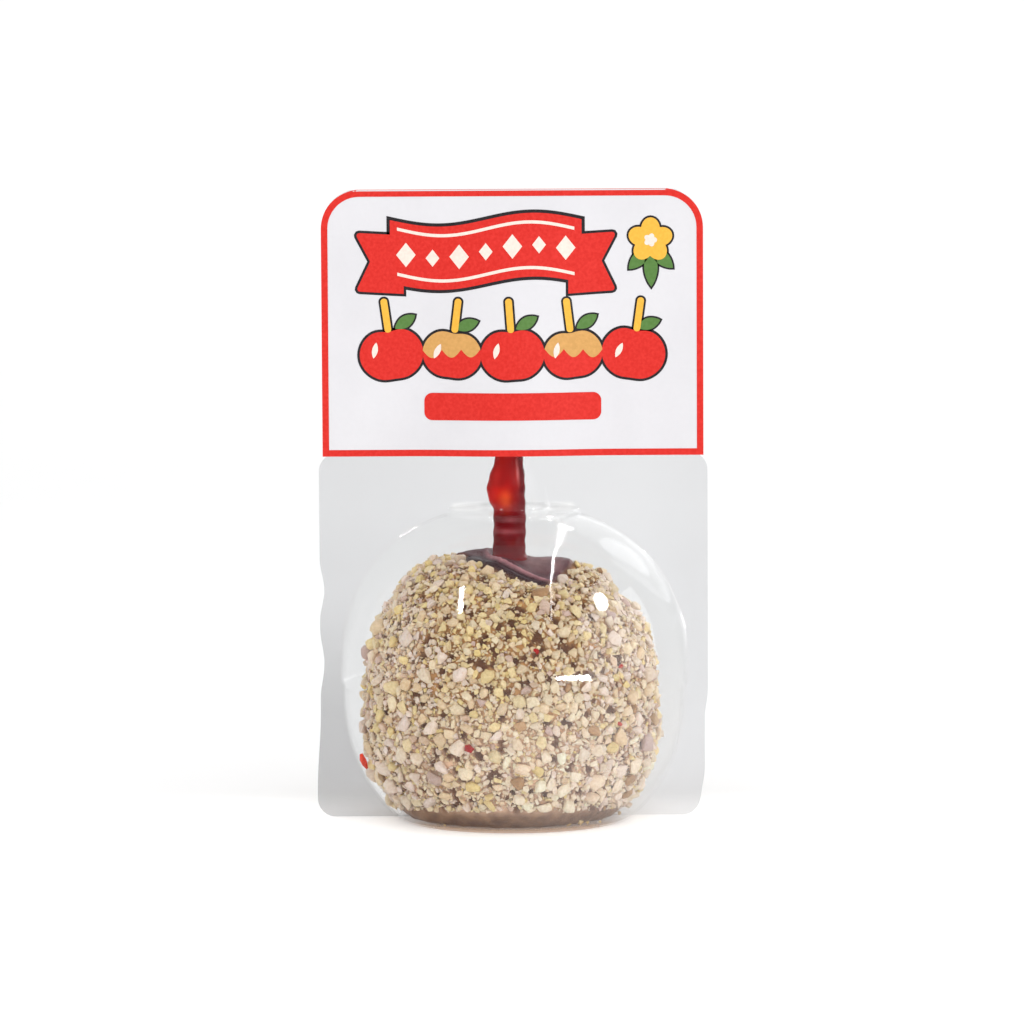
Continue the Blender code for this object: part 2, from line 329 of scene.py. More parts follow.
class Look:
    """A material, with short ways to add nodes to it.

    Wherever a value is asked for it may be a number, a colour or another node's output.
    """

    def __init__(self, name):
        self.material = bpy.data.materials.new(name)
        self.material.use_nodes = True
        self.nodes = self.material.node_tree.nodes
        self.links = self.material.node_tree.links
        self.shader = self.nodes["Principled BSDF"]

    def put(self, socket, value):
        if isinstance(value, bpy.types.NodeSocket):
            self.links.new(value, socket)
        elif socket.type == "RGBA":
            socket.default_value = (*value, 1.0)
        else:
            socket.default_value = value

    def add(self, kind, inputs=None, **settings):
        """A new node, with its settings made first and then its inputs filled."""
        node = self.nodes.new(f"ShaderNode{kind}")
        for name, value in settings.items():
            setattr(node, name, value)
        for key, value in (inputs or {}).items():
            self.put(node.inputs[key], value)
        return node

    def place(self):
        """Object coordinates."""
        return self.add("TexCoord").outputs["Object"]

    def axes(self):
        return self.add("SeparateXYZ", {0: self.place()}).outputs

    def noise(self, scale, detail=3.0, roughness=0.5):
        inputs = {"Scale": scale, "Detail": detail, "Roughness": roughness, "Vector": self.place()}
        return self.add("TexNoise", inputs).outputs["Fac"]

    def colour_ramp(self, value, *stops):
        node = self.add("ValToRGB", {"Fac": value})
        for element, (position, colour) in zip(node.color_ramp.elements, stops):
            element.position = position
            element.color = (*colour, 1.0)
        return node.outputs["Color"]

    def mix(self, first, second, share, blend="MIX"):
        inputs = {0: share, 6: first, 7: second}
        return self.add("Mix", inputs, data_type="RGBA", blend_type=blend).outputs[2]

    def mix_shaders(self, first, second, share):
        return self.add("MixShader", {0: share, 1: first, 2: second}).outputs[0]

    def rise(self, value, low, high):
        """0 at low and 1 at high, smoothly between."""
        inputs = {"Value": value, "From Min": low, "From Max": high}
        return self.add("MapRange", inputs, interpolation_type="SMOOTHSTEP").outputs["Result"]

    def size(self, value):
        """The value without its sign."""
        return self.add("Math", {0: value}, operation="ABSOLUTE").outputs[0]

    def product(self, *factors):
        result = factors[0]
        for factor in factors[1:]:
            result = self.add("Math", {0: result, 1: factor}, operation="MULTIPLY").outputs[0]
        return result

    def relief(self, height, strength, distance):
        inputs = {"Height": height, "Strength": strength, "Distance": distance}
        return self.add("Bump", inputs).outputs["Normal"]

    def surface(self, colour, roughness, specular, normal=None):
        self.put(self.shader.inputs["Base Color"], colour)
        self.shader.inputs["Roughness"].default_value = roughness
        self.shader.inputs["Specular IOR Level"].default_value = specular
        if normal is not None:
            self.put(self.shader.inputs["Normal"], normal)

    def lit_through(self, share, radii, scale):
        """Light goes into the surface and comes out beside its place."""
        self.shader.inputs["Subsurface Weight"].default_value = share
        self.shader.inputs["Subsurface Radius"].default_value = radii
        self.shader.inputs["Subsurface Scale"].default_value = scale

    def tinted(self, value, dark, light):
        """The mesh's own tint, shaded between two stops by a noise."""
        tint = self.add("VertexColor", layer_name="tint").outputs["Color"]
        return self.mix(tint, self.colour_ramp(value, dark, light), 1.0, "MULTIPLY")


def clear_tint_with_painted_light(look, x, z, beside, depth, bubble):
    """How much light the clear sheet lets through, from place to place.

    The left wing is painted greyest, most of all low down, as painted shade. The sheet is painted
    lighter to the right and high up, and a little darker at its right edge. The bubble is clear, and
    the ring at the top of its neck is painted clearest near the seam, as a painted highlight.
    """
    painted_shade_low_left = look.product(
        look.rise(x, 0.030, -0.045), look.rise(z, 0.054, 0.018), look.rise(z, -0.014, 0.014)
    )
    painted_light_ring = look.product(
        look.rise(z, NECK_TOP - 0.0018, NECK_TOP - 0.0005),
        look.rise(z, NECK_TOP + 0.0018, NECK_TOP + 0.0005),
        look.rise(beside, NECK_RADIUS - 0.0002, NECK_RADIUS - 0.0020),
    )
    tint = (0.916, 0.917, 0.920)
    layers = (
        # colour, share
        # painted light: the sheet lighter to the right
        ((0.941, 0.942, 0.945), look.rise(x, -0.042, 0.020)),
        # painted shade: a little darker at the right edge
        ((0.929, 0.930, 0.933), look.rise(x, 0.026, 0.042)),
        # painted light: lighter high up
        ((0.956, 0.957, 0.960), look.product(look.rise(z, 0.054, 0.074), 0.33)),
        # painted shade: greyest low on the left wing
        ((0.853, 0.853, 0.855), painted_shade_low_left),
        ((0.931, 0.933, 0.934), bubble),
        # painted highlight: a clearer ring at the neck's top, clearest near the seam
        ((0.942, 0.943, 0.944), painted_light_ring),
        ((0.980, 0.980, 0.980), look.product(painted_light_ring, look.rise(depth, 0.0052, 0.0020))),
    )
    for colour, share in layers:
        tint = look.mix(tint, colour, share)
    return tint


def clear_plastic_material():
    """Thin clear sheet: it shows what is behind it unbent, and mirrors more at a low angle.

    The drawn-out bubble is thinner than the flat sheet, and so it is clearer, with a slight
    white haze low on its right that is painted sheen. The narrow channel above the neck mirrors
    less, and a thin brown film on the base is painted shadow and reflection of the caramel foot.
    """
    look = Look("clear_plastic")
    look.nodes.remove(look.shader)
    x, y, z = look.axes()
    beside, depth = look.size(x), look.size(y)
    drawn = look.add("MapRange", {"Value": depth, "From Min": 0.0010, "From Max": 0.0040})
    under_neck = look.rise(z, NECK_TOP + 0.0030, NECK_TOP + 0.0008)
    bubble = look.product(drawn.outputs["Result"], under_neck)
    tint = clear_tint_with_painted_light(look, x, z, beside, depth, bubble)
    clear = look.add("BsdfTransparent", {"Color": tint}).outputs[0]
    # painted shadow and reflection of the caramel foot: a brown film low on the base
    painted_foot_reflection = look.add("BsdfDiffuse", {"Color": (0.54, 0.38, 0.27)}).outputs[0]
    painted_foot_reflection_share = look.product(look.rise(z, 0.0016, 0.0006), look.rise(beside, 0.0250, 0.0150), 0.55)
    # painted sheen: a white haze low on the bubble's right, standing in for a veil of reflection
    painted_sheen_haze = look.add("BsdfDiffuse", {"Color": (0.96, 0.96, 0.97)}).outputs[0]
    painted_sheen_share = look.product(look.rise(z, 0.046, 0.018), look.rise(x, -0.030, 0.034), 0.055, bubble)
    behind = look.mix_shaders(look.mix_shaders(clear, painted_foot_reflection, painted_foot_reflection_share), painted_sheen_haze, painted_sheen_share)
    waves = look.relief(look.noise(60.0, detail=1.0), 0.10, 0.002)
    gloss = look.add("BsdfGlossy", {"Color": (1.0, 1.0, 1.0), "Roughness": 0.045, "Normal": waves})
    facing = look.add("LayerWeight", {"Blend": 0.5}).outputs["Facing"]
    edge_on = look.add("Math", {0: facing, 1: 7.0}, operation="POWER").outputs[0]
    mirrored = look.add("MapRange", {"Value": edge_on, "To Min": 0.013, "To Max": 0.26})
    dulled = look.add("MapRange", {"Value": under_neck, "To Min": 0.35})
    mirrored = look.product(mirrored.outputs["Result"], dulled.outputs["Result"])
    mixed = look.mix_shaders(behind, gloss.outputs[0], mirrored)
    look.put(look.nodes["Material Output"].inputs["Surface"], mixed)
    return look.material


def card_material():
    look = Look("white_board")
    fibres = look.noise(900.0, detail=4.0)
    clouds = look.noise(45.0, detail=2.0)
    base = look.colour_ramp(clouds, (0.3, (0.70, 0.69, 0.715)), (0.7, (0.745, 0.735, 0.76)))
    colour = look.mix(base, fibres, 0.04, "MULTIPLY")
    look.surface(colour, 0.42, 0.4, look.relief(fibres, 0.15, 0.00005))
    return look.material


def ink_material(name, colour):
    """Printed ink, a little uneven where the board's fibres take it."""
    look = Look(name)
    grain = look.noise(1400.0)
    pale = tuple(min(1.0, channel * 1.12 + 0.012) for channel in colour)
    uneven = look.colour_ramp(grain, (0.35, colour), (0.75, pale))
    look.surface(uneven, 0.35, 0.2, look.relief(grain, 0.08, 0.00003))
    return look.material


def nut_material(name):
    """Chopped nut: each bit's own tint, mottled by a noise."""
    look = Look(name)
    mottle = look.noise(1500.0, roughness=0.6)
    colour = look.tinted(mottle, (0.25, (0.80, 0.73, 0.64)), (0.6, (1.0, 1.0, 1.0)))
    look.surface(colour, 0.55, 0.35, look.relief(look.noise(5200.0, detail=2.0), 0.35, 0.00012))
    look.lit_through(0.12, (1.0, 0.6, 0.35), 0.0006)
    return look.material


def caramel_material():
    """Dark caramel and candy under the nuts, redder in the bare dish at the top."""
    look = Look("dark_caramel")
    clouds = look.noise(420.0)
    colour = look.tinted(clouds, (0.3, (0.62, 0.55, 0.55)), (0.7, (1.15, 1.1, 1.05)))
    look.surface(colour, 0.40, 0.08, look.relief(clouds, 0.5, 0.0006))
    return look.material


def candy_material():
    """Red hard candy: dark as a thin coat, and painted as lit through where it is thick."""
    look = Look("red_candy")
    clouds = look.noise(300.0, detail=2.0)
    colour = look.tinted(clouds, (0.3, (0.72, 0.66, 0.66)), (0.7, (1.15, 1.1, 1.1)))
    look.surface(colour, 0.25, 0.04, look.relief(clouds, 0.12, 0.0003))
    look.lit_through(0.25, (1.0, 0.12, 0.06), 0.0015)
    return look.material


# ---------------------------------------------------------------- clear pack


def bubble_radius(height):
    """Outer radius of the cup and the dome, with the small step at the waist."""
    above = height - WAIST_HEIGHT
    reach = BUBBLE_RISE if above >= 0 else BUBBLE_DROP
    share = min(abs(above) / reach, 1.0)
    widest = BUBBLE_RADIUS - WAIST_STEP * (1 - float(ramp(above, -0.0009, 0.0002)))
    return widest * (1 - share**BUBBLE_POWER) ** (1 / BUBBLE_POWER)


def pack_profile():
    """(radius, height) up the outside of a half: base edge, cup, dome, neck, cone and channel."""
    dome_end = 0.0671
    waist_rows = [WAIST_HEIGHT + offset * 0.0002 for offset in range(-7, 5)]
    cup_rows = list(np.linspace(0.0, waist_rows[0], 30)[1:-1])
    dome_rows = list(WAIST_HEIGHT + (dome_end - WAIST_HEIGHT) * np.sin(np.linspace(0.03, np.pi / 2, 40)))
    heights = cup_rows + waist_rows + [h for h in dome_rows if h > waist_rows[-1]]
    base_radius = bubble_radius(0.0)
    corners = [(base_radius - 0.0015, 0.0, 0.0), (base_radius, 0.0, 0.0011)]
    corners += [(bubble_radius(h), h, 0.0) for h in heights]
    corners += [
        (NECK_RADIUS + 0.0003, 0.0676, 0.0006),
        (NECK_RADIUS, NECK_TOP, 0.0011),
        (CONE_RADIUS, NECK_TOP, 0.0009),
        (CHANNEL_RADIUS, CONE_TOP, 0.004),
        (CHANNEL_RADIUS, PACK_HIGH.z, 0.0),
    ]
    return rounded_path(corners, closed=False)


def outline_normals(profile):
    """Unit vectors out of a profile, smoothed, and level near the base and the top."""
    path = np.array(profile)
    along_it = np.gradient(path, axis=0)
    normals = np.stack([along_it[:, 1], -along_it[:, 0]], axis=1)
    normals /= np.linalg.norm(normals, axis=1, keepdims=True)
    for _ in range(3):
        normals[1:-1] = (normals[:-2] + normals[1:-1] * 2 + normals[2:]) / 4
    share = ramp(path[:, 1:], 0.0, 0.004) * (1 - ramp(path[:, 1:], 0.130, 0.136))
    normals = normals * share + np.array([[1.0, 0.0]]) * (1 - share)
    return normals / np.linalg.norm(normals, axis=1, keepdims=True)


def sheet_edge():
    """The free edge of the sheet's right side, from its bottom to the top of its tab."""
    half, tab, top = PACK_HIGH.x, TAB_WIDTH / 2, PACK_HIGH.z
    corners = [
        (half - SHEET_CORNER - 0.001, 0.0, 0.0),
        (half, 0.0, SHEET_CORNER),
        (half, SHOULDER_HEIGHT, SHEET_CORNER),
        (tab, SHOULDER_HEIGHT, 0.0008),
        (tab, top, TAB_CORNER),
        (tab - TAB_CORNER - 0.001, top, 0.0),
    ]
    return rounded_path(corners, closed=False, steps=10)


def edge_inset(z, mirror):
    """How far the trimmed edge of the left (-1) or the right (1) wing runs inside its straight line."""
    if mirror < 0:
        dents = 0.0010 * bump(z - 0.0510, 0.0070) + 0.0009 * bump(z - 0.0345, 0.0080)
        return dents - 0.0008 * (1 - ramp(z, 0.006, 0.024))
    return 0.0007 * (1 - ramp(z, 0.022, 0.028)) + 0.0011 * (1 - ramp(z, 0.002, 0.011))


def sheet_wave(x, z):
    """How far the flat sheet is out of true, the same for both halves. It is flat under the card."""
    clear_of_bubble = abs(x) - bubble_radius(min(z, 0.0670)) - 0.0012
    free = ramp(clear_of_bubble, 0.0, 0.0035) * (1 - ramp(z, 0.056, 0.068)) * ramp(z, 0.0, 0.006)
    return WAVE_DEPTH * float(free) * noise.noise(Vector((x * 26, 3.1, z * 30)))


def make_blister(side, name):
    """One half of the pack as one formed sheet: two flat wings, half of the bubble and its base."""
    profile = pack_profile()
    rows = len(profile)
    normals = outline_normals(profile)
    outer = along(sheet_edge(), np.linspace(0.0, 1.0, rows) ** 1.12)
    wing_steps, fillet_steps, turn_steps = 16, 6, 96
    wing_shares = np.linspace(1.0, 0.0, wing_steps + 1)
    fillet_angles = [math.pi / 2 * step / fillet_steps for step in range(fillet_steps + 1)]
    depth = SHEET_FACE + FILLET  # where the bubble's own round begins
    points = []

    def seam_reach(radius):
        return math.sqrt(max(radius**2 - depth**2, 0.0))

    def side_points(row, mirror):
        """From the wing's free edge to the end of the fillet."""
        radius, height = profile[row]
        inner = np.array([seam_reach(radius), height])
        start = inner + normals[row] * FILLET
        line = []
        edge = outer[row] - (float(edge_inset(outer[row][1], mirror)), 0.0)
        for share in wing_shares:
            x, z = start + (edge - start) * share
            line.append((mirror * x, SHEET_FACE + side * sheet_wave(mirror * x, z), z))
        for angle in fillet_angles[1:]:
            x, z = inner + normals[row] * FILLET * (1 - math.sin(angle))
            line.append((mirror * x, depth - FILLET * math.cos(angle), z))
        return line

    def half_turn(radius, height):
        start = math.asin(min(depth / radius, 1.0))
        angles = np.linspace(start, math.pi - start, turn_steps + 1)[1:-1]
        return [(radius * math.cos(a), radius * math.sin(a), height) for a in angles]

    for row, (radius, height) in enumerate(profile):
        left = side_points(row, -1)
        points += side_points(row, 1) + half_turn(radius, height) + left[::-1]
    faces = grid_faces(rows, len(points) // rows)

    base_rows = np.linspace(profile[0][0], depth * 1.02, 14)
    first = len(points)
    for row, radius in enumerate(base_rows):
        seam = GAP / 2 if row else SHEET_FACE
        bulge = FILLET if row == 0 else 0.0
        right = [
            (
                seam_reach(radius) + bulge * (1 - math.sin(angle)),
                depth - (depth - seam) * math.cos(angle),
                0.0,
            )
            for angle in fillet_angles
        ]
        left = [(-x, y, z) for x, y, z in reversed(right)]
        points += right + half_turn(radius, 0.0) + left
    base_columns = 2 * (fillet_steps + 1) + turn_steps - 1
    faces += [face[::-1] for face in grid_faces(len(base_rows), base_columns, first=first)]
    last = first + (len(base_rows) - 1) * base_columns
    faces.append(tuple(range(last + base_columns - 1, last - 1, -1)))

    placed = [(x, side * y, z) for x, y, z in points]
    mesh = make_mesh(name, placed, faces if side > 0 else [face[::-1] for face in faces])
    weld(mesh, 1e-6, closed=False)
    return mesh


def make_clear_pack(material):
    """Both halves of the pack. They cast no shadow, as thin clear sheet hardly does."""
    halves = []
    for side, end in ((-1, "front"), (1, "back")):
        name = f"{end}_clear_half"
        mesh = make_blister(side, name)
        thicken(mesh, SHEET)
        piece = add_piece(name, mesh, material, [f"{end}_blister"], sharp=55)
        piece.visible_shadow = False
        halves.append(piece)
    return halves


# ---------------------------------------------------------------- header card


def card_offset(x, z):
    """Distance from the middle of the pack to the middle of a card panel."""
    across = min(abs(x) / BOW_HALF_WIDTH, 1.0)
    up = (z - CARD_BOTTOM) / (FOLD_HEIGHT - CARD_BOTTOM)
    return FOLD_RADIUS + BOW_DEPTH * math.cos(math.pi / 2 * across) ** 2 * (1 - max(up, 0.0) ** 3)


def card_half_width(z):
    """Half of the card's width, which narrows in its two rounded top corners."""
    below_top = CARD_TOP - z
    if below_top >= CARD_CORNER:
        return CARD_WIDTH / 2
    reach = math.sqrt(max(CARD_CORNER**2 - (CARD_CORNER - below_top) ** 2, 0.0))
    return CARD_WIDTH / 2 - CARD_CORNER + reach


def card_rise(x, z):
    """A bowed panel is drawn up a little in its middle, since board doesn't stretch."""
    drop = max(FOLD_HEIGHT - z, 0.0) / (FOLD_HEIGHT - CARD_BOTTOM)
    return 0.00028 * drop**2 * float(bump(x, BOW_HALF_WIDTH))


def card_face(x, z, lift, side=-1):
    """A point lift above the card's outer face, on its front (-1) or its back (1)."""
    if z <= FOLD_HEIGHT:
        return Vector((x, side * (card_offset(x, z) + CARD / 2 + lift), z + card_rise(x, z)))
    radius = FOLD_RADIUS + CARD / 2
    angle = math.asin(min((z - FOLD_HEIGHT) / radius, 1.0))
    radius += lift
    return Vector((x, side * radius * math.cos(angle), FOLD_HEIGHT + radius * math.sin(angle)))


def make_header_card(material):
    """The board, folded over the top, with its thickness showing at the cut edges."""
    columns, fold_steps, corner_steps = 56, 10, 12
    corner_start = CARD_TOP - CARD_CORNER
    panel = list(np.linspace(CARD_BOTTOM, corner_start, 36))
    bend = [corner_start + CARD_CORNER * math.sin(a) for a in np.linspace(0, 1.45, corner_steps)[1:]]
    panel += [z for z in bend if z < FOLD_HEIGHT] + [FOLD_HEIGHT]
    points = []

    def add_row(height, depth_at):
        for column in range(columns + 1):
            x = (2 * column / columns - 1) * card_half_width(height)
            points.append((x, depth_at(x), height + card_rise(x, height)))

    for z in panel:
        add_row(z, lambda x: -card_offset(x, z))
    for step in range(1, fold_steps):
        turn = math.pi * step / fold_steps
        add_row(FOLD_HEIGHT + FOLD_RADIUS * math.sin(turn), lambda x: -FOLD_RADIUS * math.cos(turn))
    for z in reversed(panel):
        add_row(z, lambda x: card_offset(x, z))
    rows = len(points) // (columns + 1)
    mesh = make_mesh("header_board", points, grid_faces(rows, columns + 1))
    piece = add_piece("header_board", mesh, material, ["header_card"], sharp=50)
    solidify(piece, CARD, 0.0)


class Print:
    """Flat shapes in one ink, draped on one side of the card."""

    def __init__(self, name, material, layer, side=-1):
        self.name = name
        self.material = material
        self.lift = INK * (layer + 1)
        self.side = side
        self.points = []
        self.faces = []

    def add(self, outline, pitch=0.0011):
        """A filled outline, given as (x, z) points in order."""
        outline = dense(outline, 2 * pitch)
        edges = [(i, (i + 1) % len(outline)) for i in range(len(outline))]
        loop = [Vector(p) for p in outline]
        low = np.min(outline, axis=0)
        high = np.max(outline, axis=0)
        inside = [
            Vector((x, z))
            for x in np.arange(low[0] + pitch / 2, high[0], pitch)
            for z in np.arange(low[1] + pitch / 2, high[1], pitch)
        ]
        done = geometry.delaunay_2d_cdt(loop + inside, edges, [list(range(len(loop)))], 1, 1e-7)
        self.drape([tuple(p) for p in done[0]], [tuple(f) for f in done[2]])

    def drape(self, flat, faces):
        first = len(self.points)
        self.points += [card_face(x, z, self.lift, self.side) for x, z in flat]
        self.faces += [tuple(first + i for i in face) for face in faces]

    def finish(self):
        """Makes the piece, with its faces turned out of the card."""
        mesh = make_mesh(self.name, self.points, self.faces)
        shape = bmesh.new()
        shape.from_mesh(mesh)
        bmesh.ops.recalc_face_normals(shape, faces=shape.faces)
        shape.faces.ensure_lookup_table()
        if sum(f.normal.y * f.calc_area() for f in shape.faces) * self.side < 0:
            bmesh.ops.reverse_faces(shape, faces=shape.faces)
        shape.to_mesh(mesh)
        shape.free()
        piece = add_piece(self.name, mesh, self.material)
        solidify(piece, INK * 0.8, 1.0)


def dense(outline, pitch):
    """The outline with its long edges split, so that they follow the card's bow."""
    points = []
    for start, end in zip(outline, list(outline[1:]) + [outline[0]]):
        steps = max(1, math.ceil(math.dist(start, end) / pitch))
        move = (np.array(end) - start) / steps
        points += [tuple(start + move * step) for step in range(steps)]
    return points


def grown(outline, by):
    """The outline moved outwards by a distance, for the black edge round a shape."""
    path = np.array(outline)
    area = np.sum(path[:, 0] * np.roll(path[:, 1], -1) - np.roll(path[:, 0], -1) * path[:, 1])
    before = path - np.roll(path, 1, axis=0)
    after = np.roll(path, -1, axis=0) - path
    before /= np.linalg.norm(before, axis=1, keepdims=True) + 1e-12
    after /= np.linalg.norm(after, axis=1, keepdims=True) + 1e-12
    normal = np.stack([(before + after)[:, 1], -(before + after)[:, 0]], axis=1)
    normal /= np.linalg.norm(normal, axis=1, keepdims=True) + 1e-12
    widen = 1 / np.clip(np.abs(normal[:, 0] * after[:, 1] - normal[:, 1] * after[:, 0]), 0.55, 1)
    return [tuple(p) for p in path + normal * (by * math.copysign(1, area)) * widen[:, None]]


def moved(outline, dx, dz, angle=0.0):
    """The outline turned about the origin and then shifted."""
    turn = np.array([[math.cos(angle), -math.sin(angle)], [math.sin(angle), math.cos(angle)]])
    return [tuple(p) for p in np.array(outline) @ turn.T + (dx, dz)]


def apple_outline(size):
    """A cartoon apple with a notch at its top and a smaller one below."""
    angles = np.linspace(0, math.tau, 56, endpoint=False)
    top = np.exp(-((from_heading(angles, math.pi / 2) / 0.42) ** 2))
    low = np.exp(-((from_heading(angles, -math.pi / 2) / 0.35) ** 2))
    radius = size * (1 - 0.17 * top - 0.07 * low + 0.03 * np.cos(2 * angles))
    return [(1.04 * r * math.cos(a), 0.94 * r * math.sin(a)) for a, r in zip(angles, radius)]


def leaf_outline(length, width):
    """A pointed leaf along +x from the origin."""
    shares = np.linspace(0, 1, 14)
    upper = [(length * s, width / 2 * math.sin(math.pi * s) ** 0.8) for s in shares]
    lower = [(x, -z) for x, z in reversed(upper[1:-1])]
    return upper + lower


def bar_outline(x, z, width, height, radius):
    """A rectangle round a middle, with rounded corners."""
    ways = ((-1, -1), (1, -1), (1, 1), (-1, 1))
    corners = [(x + a * width / 2, z + b * height / 2, radius) for a, b in ways]
    return rounded_path(corners, steps=8)


def ribbon_outline(x, z, half, height, wave):
    """A waving band, as upper and lower edges of the same curve."""
    across = np.linspace(-half, half, 60)
    rise = wave * np.sin(np.pi * across / half)
    upper = [(x + a, z + r + height / 2) for a, r in zip(across, rise)]
    lower = [(x + a, z + r - height / 2) for a, r in zip(across, rise)]
    return upper + lower[::-1]


def border_strip(layer_print, width=0.00145):
    """The red border at the card's very edge, split often enough to follow the card's bow."""
    half = CARD_WIDTH / 2
    outer, inset = [
        rounded_path(
            [
                (half - inwards, CARD_BOTTOM + inwards, 0.0),
                (half - inwards, CARD_TOP - inwards, CARD_CORNER - inwards),
                (-half + inwards, CARD_TOP - inwards, CARD_CORNER - inwards),
                (-half + inwards, CARD_BOTTOM + inwards, 0.0),
            ],
            steps=16,
        )
        for inwards in (0.0, width)
    ]
    rows = []
    edges = [zip(path, path[1:] + path[:1]) for path in (outer, inset)]
    for (a0, a1), (b0, b1) in zip(*edges):
        steps = max(1, int(math.dist(a0, a1) / 0.0012))
        for share in np.arange(steps) / steps:
            outer_point = np.array(a0) + (np.array(a1) - a0) * share
            inner_point = np.array(b0) + (np.array(b1) - b0) * share
            rows.append((outer_point, inner_point))
    across = 5
    flat = [
        tuple(outer_point + (inner_point - outer_point) * column / (across - 1))
        for outer_point, inner_point in rows
        for column in range(across)
    ]
    last = len(flat) - across
    faces = grid_faces(len(rows), across)
    faces += [(last + c, last + c + 1, c + 1, c) for c in range(across - 1)]
    layer_print.drape(flat, faces)


def blossom_outline(size):
    """A flower with five rounded petals."""
    angles = np.linspace(0, math.tau, 60, endpoint=False)
    radius = size * (0.70 + 0.30 * np.abs(np.cos(2.5 * angles)))
    return [(r * math.cos(a), r * math.sin(a)) for a, r in zip(angles, radius)]


def cap_outline(body, top_share, drips):
    """The upper part of an apple's outline, closed below by a line of hanging drips."""
    path = np.array(body)
    low, high = path[:, 1].min(), path[:, 1].max()
    level = high - (high - low) * top_share
    upper = path[path[:, 1] > level]
    order = np.argsort(np.arctan2(upper[:, 1] - level, upper[:, 0] - path[:, 0].mean()))
    upper = upper[order]
    left, right = upper[-1], upper[0]
    shares = np.linspace(0, 1, 40)[1:-1]
    wave = 0.17 * (high - low) * np.abs(np.sin(shares * math.pi * drips))
    lower = left + (right - left) * shares[:, None]
    lower[:, 1] -= wave
    return [tuple(p) for p in upper] + [tuple(p) for p in lower]


def make_print():
    """A border, a waving ribbon, a blossom, a row of dipped apples and a plain bar."""
    inks = (
        ("red", (0.65, 0.019, 0.012)),
        ("black", (0.012, 0.010, 0.012)),
        ("green", (0.09, 0.20, 0.045)),
        ("yellow", (0.83, 0.44, 0.05)),
        ("tan", (0.62, 0.33, 0.10)),
        ("pale", (0.82, 0.70, 0.62)),
    )
    red, black, green, yellow, tan, pale = [ink_material(f"{name}_ink", ink) for name, ink in inks]
    border = Print("print_border", red, 0)
    outlines = Print("print_outlines", black, 0)
    reds = Print("print_red", red, 1)
    greens = Print("print_green", green, 1)
    yellows = Print("print_yellow", yellow, 2)
    tans = Print("print_tan", tan, 2)
    ribbon = Print("print_ribbon", red, 2)
    pales = Print("print_pale", pale, 3)
    back_border = Print("print_back_border", red, 0, side=1)
    back_bar = Print("print_back_bar", red, 1, side=1)
    border_strip(border)
    border_strip(back_border)
    edge = 0.00055

    def inked(layer_print, outline, by=edge):
        outlines.add(grown(outline, by))
        layer_print.add(outline)

    middle, level, half, height = -0.0058, CARD_BOTTOM + 0.0455, 0.0212, 0.0140
    tail_corners = (  # out from the end of the band, up, and the rounding radius
        (-0.0030, -0.0094, 0.0),
        (0.0076, -0.0088, 0.0006),
        (0.0044, -0.0022, 0.0005),
        (0.0078, 0.0042, 0.0006),
        (-0.0030, 0.0036, 0.0),
    )
    for end in (-1, 1):
        tail = [(middle + end * (half + x), level + z, radius) for x, z, radius in tail_corners]
        inked(reds, rounded_path(tail, steps=3))
    band = ribbon_outline(middle, level, half, height, 0.0015)
    outlines.add(grown(band, edge * 1.3))
    ribbon.add(band)
    for rise in (-0.0050, 0.0050):
        pales.add(ribbon_outline(middle, level + rise, half - 0.0016, 0.0007, 0.0015))
    for index in range(7):
        share = (index - 3) / 3.6
        lift = 0.0015 * math.sin(math.pi * share)
        size = 0.0019 if index % 2 else 0.0027
        diamond = [(0, size, 0.0), (-size * 0.8, 0, 0.0), (0, -size, 0.0), (size * 0.8, 0, 0.0)]
        pales.add(moved(rounded_path(diamond), middle + share * half, level + lift))

    bloom_x, bloom_z = 0.0306, CARD_BOTTOM + 0.0478
    for angle, length in ((-0.75, 0.0068), (-2.35, 0.0068), (-1.55, 0.0088)):
        leaf = moved(leaf_outline(length, 0.0030), bloom_x, bloom_z - 0.0016, angle)
        inked(greens, leaf, edge * 0.7)
    inked(yellows, moved(blossom_outline(0.0050), bloom_x, bloom_z, 0.3), edge * 0.8)
    pales.add(moved(blossom_outline(0.0015), bloom_x, bloom_z))

    row_z = CARD_BOTTOM + 0.0228
    for index in range(5):
        x = (index - 2) * 0.0134
        size = 0.0061 if index % 2 else 0.0066
        tilt = math.radians((8, -7, 4, 7, -8)[index])
        body = moved(apple_outline(size), x, row_z, tilt)
        rod = moved(bar_outline(0, 0.0086, 0.0015, 0.0076, 0.0007), x, row_z, tilt)
        inked(yellows, rod, edge * 0.8)
        inked(reds, body)
        if index % 2:
            tans.add(cap_outline(body, 0.42, 3))
        leaf = moved(leaf_outline(0.0054, 0.0026), x + 0.0008, row_z + 0.0056, tilt + 0.45)
        inked(greens, leaf, edge * 0.7)
        shine = moved(leaf_outline(0.0036, 0.0013), x - 0.0040, row_z - 0.0010, tilt + 1.25)
        pales.add(shine)
    bar = bar_outline(0.0, CARD_BOTTOM + 0.0111, 0.0392, 0.0061, 0.0018)
    reds.add(bar)
    back_bar.add(bar)
    fronts = (border, outlines, reds, greens, yellows, tans, ribbon, pales)
    for layer_print in fronts + (back_border, back_bar):
        layer_print.finish()


# ---------------------------------------------------------------- apple


